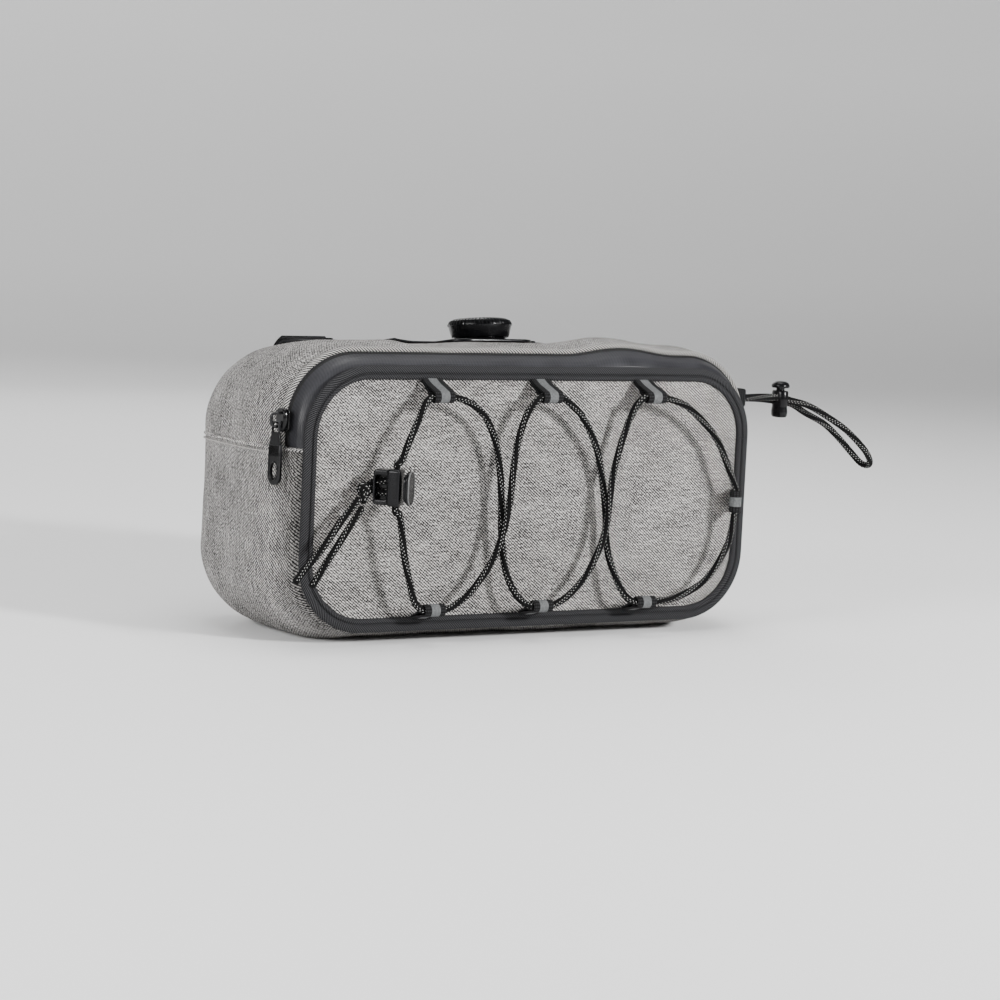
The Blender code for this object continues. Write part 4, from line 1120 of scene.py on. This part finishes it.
def make_rolled_edge():
    """The gusset cloth's rolled front edge along the zip, over a near-black strip that is painted shadow in
    the groove beneath it.
    """
    profile = rounded_profile([
        (-0.0014, 0.0010), (0.0008, 0.0018), (0.0017, 0.0008), (0.0016, -0.0010), (0.0004, -0.0017),
        (-0.0014, -0.0014),
    ])
    swept_profile("rolled_edge", arch_lines(UPPER_Y + 0.0008), profile, rolled_twill())
    # painted shadow: a near-black strip laid in the groove under the rolled edge
    shadow = Finish("painted_groove_shadow", 0.9)
    shadow.colour(shadow.ramp(shadow.noise(shadow.place(), 900.0), [(0.3, 0.001), (0.8, 0.006)]))
    groove = [
        (-0.0016, 0.0006), (-0.0001, 0.0006), (0.0001, -0.0003), (-0.0001, -0.0012), (-0.0016, -0.0012),
    ]
    lines = arch_lines(ZIP_Y + 0.0003, proud=-0.0004)
    swept_profile("painted_groove_shadow", lines, groove, shadow.material)


def make_body():
    """The bag's cloth: both gussets, the front, the binding, the zip band and the rolled edge."""
    finish = heather()
    cloth_strip("gusset_top", UPPER_Y, BODY_DEPTH, True, finish, "gusset_upper")
    # the lower gusset's cloth has painted shade darkening it near the front seam
    seam_shaded_weave = heather("painted_shade_weave", painted_shade_reach=0.018)
    cloth_strip("gusset_base", SEAM_Y, BODY_DEPTH, False, seam_shaded_weave, "gusset_lower")
    make_panel(finish)
    make_binding()
    make_zip_band()
    make_rolled_edge()


def ribbon_loop(name, root, out, width, wall, inner, finish, node):
    """A strap folded round a cord: from its sewn root out, round the cord and back under itself."""
    along = out.normalized()
    across = Y.cross(along).normalized()
    normal = along.cross(across)
    if normal.y > 0:
        normal = -normal
    length, middle, turns = out.length, inner + wall / 2, 14
    line = [(0.0, wall * 0.55), (length * 0.35, wall * 0.75), (length * 0.65, wall * 1.5)]
    for i in range(turns + 1):
        angle = radians(115) - radians(230) * i / turns
        line.append((length + middle * cos(angle), middle * sin(angle)))
    line += [(length * 0.65, -wall * 1.3), (length * 0.35, -wall * 0.65), (0.0, -wall * 0.55)]
    path = smooth_path([root + along * a + normal * b for a, b in line], 0.00055, fine=12)
    ribbon(name, path, across, width, wall, finish, [node])


def make_loops():
    """The webbing loops that hold the lace."""
    finish = webbing("reflective_webbing", half_stripe=0.0023)
    wall, width, inner = 0.0010, 0.0105, CORD_RADIUS + 0.0003
    standoff = 0.0113
    reach = {"top": 0.0067, "bottom": 0.0046, "right": 0.0072}
    edge = PIPING_WIDTH + GAP + wall * 0.8
    y = FRONT_Y + PIPING_DEPTH / 2 - 0.0010
    for side, row in ((1, "top"), (-1, "bottom")):
        z = MIDDLE + side * (PANEL_HEIGHT / 2 - edge)
        for i in range(3):
            root = Vector(((i - 1) * LOOP_SPACING, y, z))
            out = Vector((0, -standoff, -side * reach[row]))
            ribbon_loop(f"web_{row}_{i + 1}", root, out, width, wall, inner, finish, f"loop_{row}_{i + 1}")
    root = Vector((PANEL_WIDTH / 2 - edge, y, MIDDLE - 0.0025))
    out = Vector((-reach["right"], -standoff, 0))
    ribbon_loop("web_right", root, out, width, wall, inner, finish, "loop_right")


def joint_place(name):
    """A joint's own frame: its place, with z along its axis and x as near to the row's x as it can be."""
    joint = next(j for j in frame["record"]["behaviour"]["joints"] if j["name"] == name)
    up = Vector(joint["axis"]).normalized()
    side = (X - up * up.x).normalized()
    turn = Matrix((side, up.cross(side), up)).transposed().to_4x4()
    return Matrix.Translation(Vector(joint["pos_m"])) @ turn


def make_zip_hardware():
    """The slider with its bail, and the pull with a raised rim round its tab and its oval hole."""
    finish = zip_metal()
    low, high = corners("zip_slider")
    middle = (low + high) / 2
    wall, bail_height = 0.0022, 0.0048
    face_x = low.x + bail_height
    to_side = Matrix(((0, 0, -1, 0), (1, 0, 0, 0), (0, 1, 0, 0), (0, 0, 0, 1)))
    half_w, half_h = 0.0041, 0.0054
    body = []
    for i in range(48):
        angle = 2 * pi * i / 48
        x, y = cos(angle), sin(angle)
        pinch = 1.0 - 0.30 * max(-y, 0.0)
        wide, tall = copysign(abs(x) ** 0.55, x), copysign(abs(y) ** 0.7, y)
        body.append((half_w * pinch * wide, half_h * tall))
    at = Matrix.Translation((face_x + wall / 2 - 0.0002, middle.y, middle.z)) @ to_side
    plate("slider_body", [body], wall, 0.0007, at, finish, "black_zip_metal", ["zip_slider"])
    under = rounded_rectangle(half_w * 0.82, half_h * 0.9, 0.0016)
    at = Matrix.Translation((face_x + wall + 0.0006, middle.y, middle.z)) @ to_side
    plate("slider_heel", [under], 0.0010, 0.0004, at, finish, "black_zip_metal")
    half_wire = 0.0006
    half, rise = 0.0036, bail_height - half_wire
    arch_line = [
        (0.0, -half + half_wire), (rise * 0.55, -half + half_wire), (rise, -half * 0.55),
        (rise, half * 0.55), (rise * 0.55, half - half_wire), (0.0, half - half_wire),
    ]
    path = smooth_path([Vector((face_x - a, middle.y, middle.z + b)) for a, b in arch_line], 0.0003)
    ribbon("slider_bail", path, Y, 0.0018, 0.0012, finish)

    swing = joint_place("zip_pull_swing").to_translation()
    turn = radians(15)
    out = Matrix(((0, 0, -1, 0), (-1, 0, 0, 0), (0, 1, 0, 0), (0, 0, 0, 1)))
    pull = Matrix.Translation(swing) @ Matrix.Rotation(turn, 4, "Z") @ out
    half, tip = 0.0039, 0.0280
    outline = [
        (-0.0024, 0.0005), (-0.0026, -0.0050), (-0.0030, -0.0068), (-0.0036, -0.0100), (-half, -0.0150),
        (-half, -tip + half),
    ]
    for i in range(1, 12):
        angle = pi + pi * i / 12
        outline.append((half * cos(angle), -tip + half + half * sin(angle)))
    outline += [(-x, y) for x, y in outline[5::-1]]
    eye = rounded_rectangle(0.0018, 0.0019, 0.0007, middle=(0.0, -0.0024))
    hole_half_width, hole_half_height, hole_y = 0.0022, 0.0038, -tip + 0.0062
    turns = [pi * i / 12 for i in range(24)]
    slot = [(hole_half_width * cos(a), hole_y + hole_half_height * sin(a)) for a in turns]
    kind = {"slot": "black_zip_metal", "body": "pull"}
    plate("pull_tab", [outline, eye, slot], 0.0013, 0.0004, pull, finish, replaces=["zip_pull"], **kind)
    middle_y = -0.0148
    inner = [(x * 0.72, middle_y + (y - middle_y) * 0.86) for x, y in outline if y < -0.0085]
    rim = [(x, y) for x, y in outline if y < -0.0070]
    plate("pull_rim", [rim, inner], 0.0019, 0.0004, pull, finish, **kind)
    ring = [(x * 1.30, hole_y + (y - hole_y) * 1.20) for x, y in slot]
    plate("pull_eyelet", [ring, slot], 0.0018, 0.0003, pull, finish, **kind)


def make_front_lock():
    """The lace's lock: a frame with a window where its strands show, a taller block, and an oval button."""
    finish = gloss_plastic("lock_plastic", 0.16)
    lock = Matrix.Translation(placed(LOCK_FOOT)) @ Matrix.Rotation(-LOCK_TURN, 4, "Z")
    flat = lock @ Matrix.Rotation(pi / 2, 4, "X")
    frame_outline = rounded_rectangle(0.0037, 0.0080, 0.0016, middle=(0.0037, 0.0))
    window = rounded_rectangle(0.0026, 0.0054, 0.0008, middle=(0.0036, 0.0))
    outlines, node = [frame_outline, window], "front_lock_body"
    plate("lock_window_frame", outlines, 0.0080, 0.0008, flat, finish, "black_plastic", [node])
    sunk = flat @ Matrix.Translation((0, 0, -0.0022))
    back = rounded_rectangle(0.0034, 0.0074, 0.0012, middle=(0.0037, 0.0))
    plate("lock_window_back", [back], 0.0022, 0.0005, sunk, finish, "black_plastic")
    block = rounded_rectangle(0.0030, 0.0084, 0.0012, middle=(0.0096, 0.0))
    plate("lock_block", [block], 0.0096, 0.0013, flat, finish, "black_plastic")
    ridge = rounded_rectangle(0.0005, 0.0066, 0.0004, middle=(0.0078, 0.0))
    plate("lock_ridge", [ridge], 0.0102, 0.0004, flat, finish, "black_plastic")
    to_end = Matrix(((0, 0, 1, 0), (1, 0, 0, 0), (0, 1, 0, 0), (0, 0, 0, 1)))
    kind = {"slot": "black_plastic", "body": "front_button"}
    neck = rounded_rectangle(0.0036, 0.0062, 0.0036)
    at = lock @ Matrix.Translation((0.0146, 0, 0)) @ to_end
    plate("button_neck", [neck], 0.0012, 0.0002, at, finish, **kind)
    cap = rounded_rectangle(0.0050, 0.00775, 0.0046, steps=12)
    at = lock @ Matrix.Translation((0.0160, 0, 0)) @ to_end
    plate("button_cap", [cap], 0.0018, 0.0008, at, finish, replaces=["front_lock_button"], **kind)
    edge = Finish("button_edge", 0.3, Specular_IOR_Level=0.6)
    edge.colour(edge.ramp(edge.noise(edge.place(), 700.0), [(0.3, 0.07), (0.7, 0.13)]))
    outer = rounded_rectangle(0.0049, 0.0076, 0.0045, steps=12)
    inner = rounded_rectangle(0.0046, 0.0073, 0.0042, steps=12)
    at = lock @ Matrix.Translation((0.0168, 0, 0)) @ to_end
    plate("button_edge", [outer, inner], 0.0007, 0.0002, at, edge.material, **kind)


def make_side_lock():
    """The side cord's barrel lock with its mushroom button, and the tab that holds the cord's ends.

    Returns the two pieces that sit on the cord.
    """
    finish = gloss_plastic("barrel_plastic", 0.18)
    low, high = corners("side_lock_barrel")
    button_low, button_high = corners("side_lock_button")
    radius, stretch = (high.x - low.x) / 2, (high.y - low.y) / (high.x - low.x)
    at = Matrix.Translation(((low.x + high.x) / 2, (low.y + high.y) / 2, 0))
    profile = [
        (radius * 0.55, low.z, 0), (radius * 0.86, low.z + 0.0003, 0), (radius * 0.97, low.z + 0.0012, 0),
        (radius, low.z + 0.0030, 0), (radius * 0.93, low.z + 0.0050, 0), (radius * 0.93, low.z + 0.0060, 0),
        (radius * 1.0, low.z + 0.0072, 0), (radius * 1.0, high.z - 0.0009, 0), (radius * 0.9, high.z, 0),
        (radius * 0.62, high.z, 0),
    ]
    barrel = turned(
        "side_barrel", profile, at, finish, ["side_lock_barrel"], stretch=stretch,
    )
    cap, crown = button_low.z, button_high.z
    radius = (button_high.x - button_low.x) / 2
    profile = [
        (0.0019, cap - 0.0001, 0), (0.0021, high.z + 0.0002, 0), (0.0021, high.z + 0.0012, 0),
        (radius * 0.96, high.z + 0.0014, 0), (radius, high.z + 0.0020, 0), (radius, high.z + 0.0026, 0),
        (radius * 0.86, crown - 0.0009, 0), (radius * 0.60, crown - 0.0002, 0), (radius * 0.30, crown, 0),
    ]
    button = turned(
        "side_button", profile, at, finish, ["side_lock_button"], "side_button", steps=48,
    )
    low, high = corners("side_anchor")
    low.x -= 0.0030
    tab = rounded_rectangle((high.x - low.x) / 2, (high.z - low.z) / 2, 0.0012)
    at = Matrix.Translation((low + high) / 2) @ Matrix.Rotation(pi / 2, 4, "X")
    cloth = webbing("tab_webbing")
    plate("side_tab", [tab], high.y - low.y, 0.0008, at, cloth, "webbing", ["side_anchor"])
    return [barrel, button]


def make_dial():
    """The tensioner: flange and collar, and a knob with a fine toothed bevel over a plain flared skirt."""
    finish = gloss_plastic("dial_plastic", 0.2)
    dial = joint_place("dial_turn")
    flange = rounded_rectangle(0.0230, 0.0160, 0.0096)
    at = dial @ Matrix.Translation((0, 0, 0.0008))
    plate("dial_flange", [flange], 0.0016, 0.0006, at, finish, "black_plastic", ["dial_base"])
    collar = [
        (0.0053, 0.0015, 0), (0.0138, 0.0015, 0), (0.0129, 0.0021, 0), (0.0116, 0.0027, 0),
        (0.0114, 0.0046, 0), (0.0110, 0.0048, 0), (0.0053, 0.0048, 0),
    ]
    turned("dial_collar", collar, dial, finish)
    tooth = 0.00080
    knob = [
        # radius, height, how far the teeth cut in
        (0.0073, 0.0085, 0), (0.0073, 0.0053, 0), (0.0116, 0.0052, 0), (0.0119, 0.0036, 0),
        (0.0124, 0.0032, 0), (0.0134, 0.0031, 0), (0.0138, 0.0035, 0), (0.0150, 0.0082, 0),
        (0.0151, 0.0086, 0), (0.0155, 0.0088, tooth), (0.0155, 0.0094, tooth), (0.0146, 0.0110, tooth),
        (0.0127, 0.0119, tooth), (0.0122, 0.0120, 0), (0.0118, 0.0118, 0), (0.0100, 0.0118, 0),
        (0.0060, 0.0121, 0), (0.0020, 0.0122, 0),
    ]
    turned("knob", knob, dial, finish, ["dial_knob"], "knob", steps=200)


def make_straps():
    """The bar straps: webbing round the bar, its end folded back over itself on a hook and loop tape."""
    finish, tape = webbing("strap_webbing"), hook_tape()
    wall, width = 0.0020, 0.0250
    for name in ("strap_left", "strap_right"):
        low, high = corners(name)
        radius = (high.z - low.z) / 2 - wall / 2
        middle = (low + high) / 2
        arc_y = high.y - wall / 2 - radius
        flat_y = low.y + wall / 2
        line = [(flat_y, -radius * 0.8), (flat_y, 0.0), (flat_y, radius * 0.8), (flat_y + 0.004, radius)]
        for i in range(13):
            angle = pi / 2 - pi * i / 12
            line.append((arc_y + radius * cos(angle), radius * sin(angle)))
        line += [(flat_y + 0.004, -radius)]
        points = [Vector((middle.x, y, middle.z + z)) for y, z in line]
        path = smooth_path(points + points[:1], 0.0012)[:-1]
        ribbon(f"{name}_web", path, X, width, wall, finish, [name], looped=True)
        for part, start, end, lift, thick, cloth in (
            ("hooks", 1.05, -0.55, 0.0013, 0.0008, tape),
            ("end", 0.80, -0.30, 0.0024, 0.0014, finish),
        ):
            arc = []
            for i in range(25):
                angle = pi / 2 * (start + (end - start) * i / 24)
                reach = radius + lift
                y, z = arc_y + reach * cos(angle), middle.z + reach * sin(angle)
                arc.append(Vector((middle.x, y, z)))
            ribbon(f"{name}_{part}", arc, X, width - 0.0004, thick, cloth)


def make_flap():
    """The thin webbing flap that lies on the top beside the tensioner, its free end a little lifted."""
    low, high = corners("top_flap")
    width, wall = 0.0138, 0.0010
    line = [
        (high.x, 0.0), (high.x - 0.006, 0.0), (high.x - 0.014, 0.0001), (low.x + 0.002, 0.0009),
        (low.x, 0.0014),
    ]
    dial = joint_place("dial_turn")
    across = (dial.to_3x3() @ Y).normalized()
    path = smooth_path([dial @ Vector((x, 0.0070, 0.0007 + z)) for x, z in line], 0.0008)
    finish = webbing("flap_webbing")
    ribbon("flap_web", path, across, width, wall, finish, ["top_flap"])


def make_back():
    """The back panel: a flat pad with rounded edges, stitched near its rim."""
    low, high = corners("back_panel")
    middle, size = (low + high) / 2, high - low
    at = Matrix.Translation(middle) @ Matrix.Rotation(-pi / 2, 4, "X")
    outline = rounded_rectangle(size.x / 2, size.z / 2, 0.030, steps=14)
    weave = heather("back_weave", 0.62)
    plate("back_pad", [outline], size.y, 0.0009, at, weave, "heather_cloth", ["back_panel"])
    seam = rounded_rectangle(size.x / 2 - 0.005, size.z / 2 - 0.005, 0.025, steps=14)
    places = [Vector((middle.x + x, high.y, middle.z + z)) for x, z in seam + seam[:1]]
    lines = lines_along(places, Z, Y)
    finish = thread("back_thread", (0.06, 0.06, 0.06))
    stitch_lines("back_stitches", lines, 0.0034, 0.0026, 0.00022, 0.0003, finish)


def make_side_seams():
    """The roll of cloth where the two gussets meet on each side, made lighter than the gussets as a painted
    highlight along its fold, and the topstitching under it.
    """
    # painted highlight: the seam roll is the gussets' cloth made 1.5 times lighter
    cloth, finish = heather("seam_highlight_weave", 1.5), thread("seam_thread", (0.52, 0.50, 0.48))
    roll = rounded_profile([
        (-0.0014, -0.0010), (0.0003, -0.0008), (0.0009, 0.0), (0.0003, 0.0008), (-0.0014, 0.0010),
    ])
    depths = even_steps(SEAM_Y + 0.0006, BODY_DEPTH - 0.003, 0.002)
    first = next(i for i, y in enumerate(depths) if y > UPPER_Y + 0.003)
    for side, name in ((-1, "left"), (1, "right")):
        out = X * side
        places = [Vector((side * section(y)[0], FRONT_Y + y, MIDDLE + SEAM_ABOVE_MIDDLE)) for y in depths]
        swept_profile(f"seam_roll_{name}", lines_along(places, out, Z), roll, cloth)
        sewn = [place + out * 0.0003 - Z * 0.0022 for place in places[first:]]
        stitch_lines(f"seam_{name}", lines_along(sewn, Z, out), 0.0030, 0.0024, 0.00030, 0.0006, finish)


def make_studio():
    """A pale floor that curves up behind and glows a little, a key light and softer lights round it."""
    floor = Finish("studio_floor", 0.9, Specular_IOR_Level=0.2, Emission_Color=(1.0, 1.0, 1.0, 1.0))
    floor.colour((0.90, 0.90, 0.90, 1.0))
    height = floor.parts(floor.place())[2]
    glow = floor.ramp(height, [(0.0, 0.0), (0.10, 0.14), (0.40, 0.34), (1.0, 0.46)])
    floor.feed(floor.shader.inputs["Emission Strength"], glow)
    rows, coords = [], []
    half, bend, far = 6.0, 1.6, 3.0
    line = [(-4.0, 0.0), (far - bend, 0.0)]
    for i in range(1, 13):
        angle = pi / 2 * i / 12
        line.append((far - bend + bend * sin(angle), bend * (1 - cos(angle))))
    line.append((far, 5.0))
    for y, z in line:
        rows.append([Vector((x, y, z)) for x in (-half, half)])
        coords.append([(0.0, 0.0), (0.0, 0.0)])
    mesh = surface("floor", rows, coords)
    mesh.materials.append(floor.material)
    new_object("floor", mesh)
    lamps = (
        # name, place, size, watts
        ("key", (0.66, -1.35, 0.62), 0.20, 37.0),
        ("top", (0.10, 0.05, 1.40), 0.9, 12.0),
        ("left", (-1.30, -0.50, 0.55), 0.6, 17.0),
        ("back", (0.25, 1.2, 0.8), 0.8, 5.0),
    )
    aim = Vector((0, 0, 0.07))
    for name, place, size, watts in lamps:
        data = bpy.data.lights.new(name, "AREA")
        data.shape = "SQUARE"
        data.size = size
        data.energy = watts
        lamp = new_object(name, data)
        lamp.location = place
        lamp.rotation_euler = (aim - Vector(place)).to_track_quat("-Z", "Y").to_euler()
    world = bpy.data.worlds.new("studio")
    world.use_nodes = True
    world.node_tree.nodes["Background"].inputs["Color"].default_value = (1.0, 1.0, 1.0, 1.0)
    world.node_tree.nodes["Background"].inputs["Strength"].default_value = 0.22
    bpy.context.scene.world = world


make_camera()
make_cords()
make_body()
make_loops()
make_zip_hardware()
make_front_lock()
make_dial()
make_straps()
make_flap()
make_back()
make_side_seams()
hub = frame["nodes"]["dial_hub"].data
hub.materials.clear()
hub.materials.append(gloss_plastic("hub_plastic", 0.3))
make_studio()
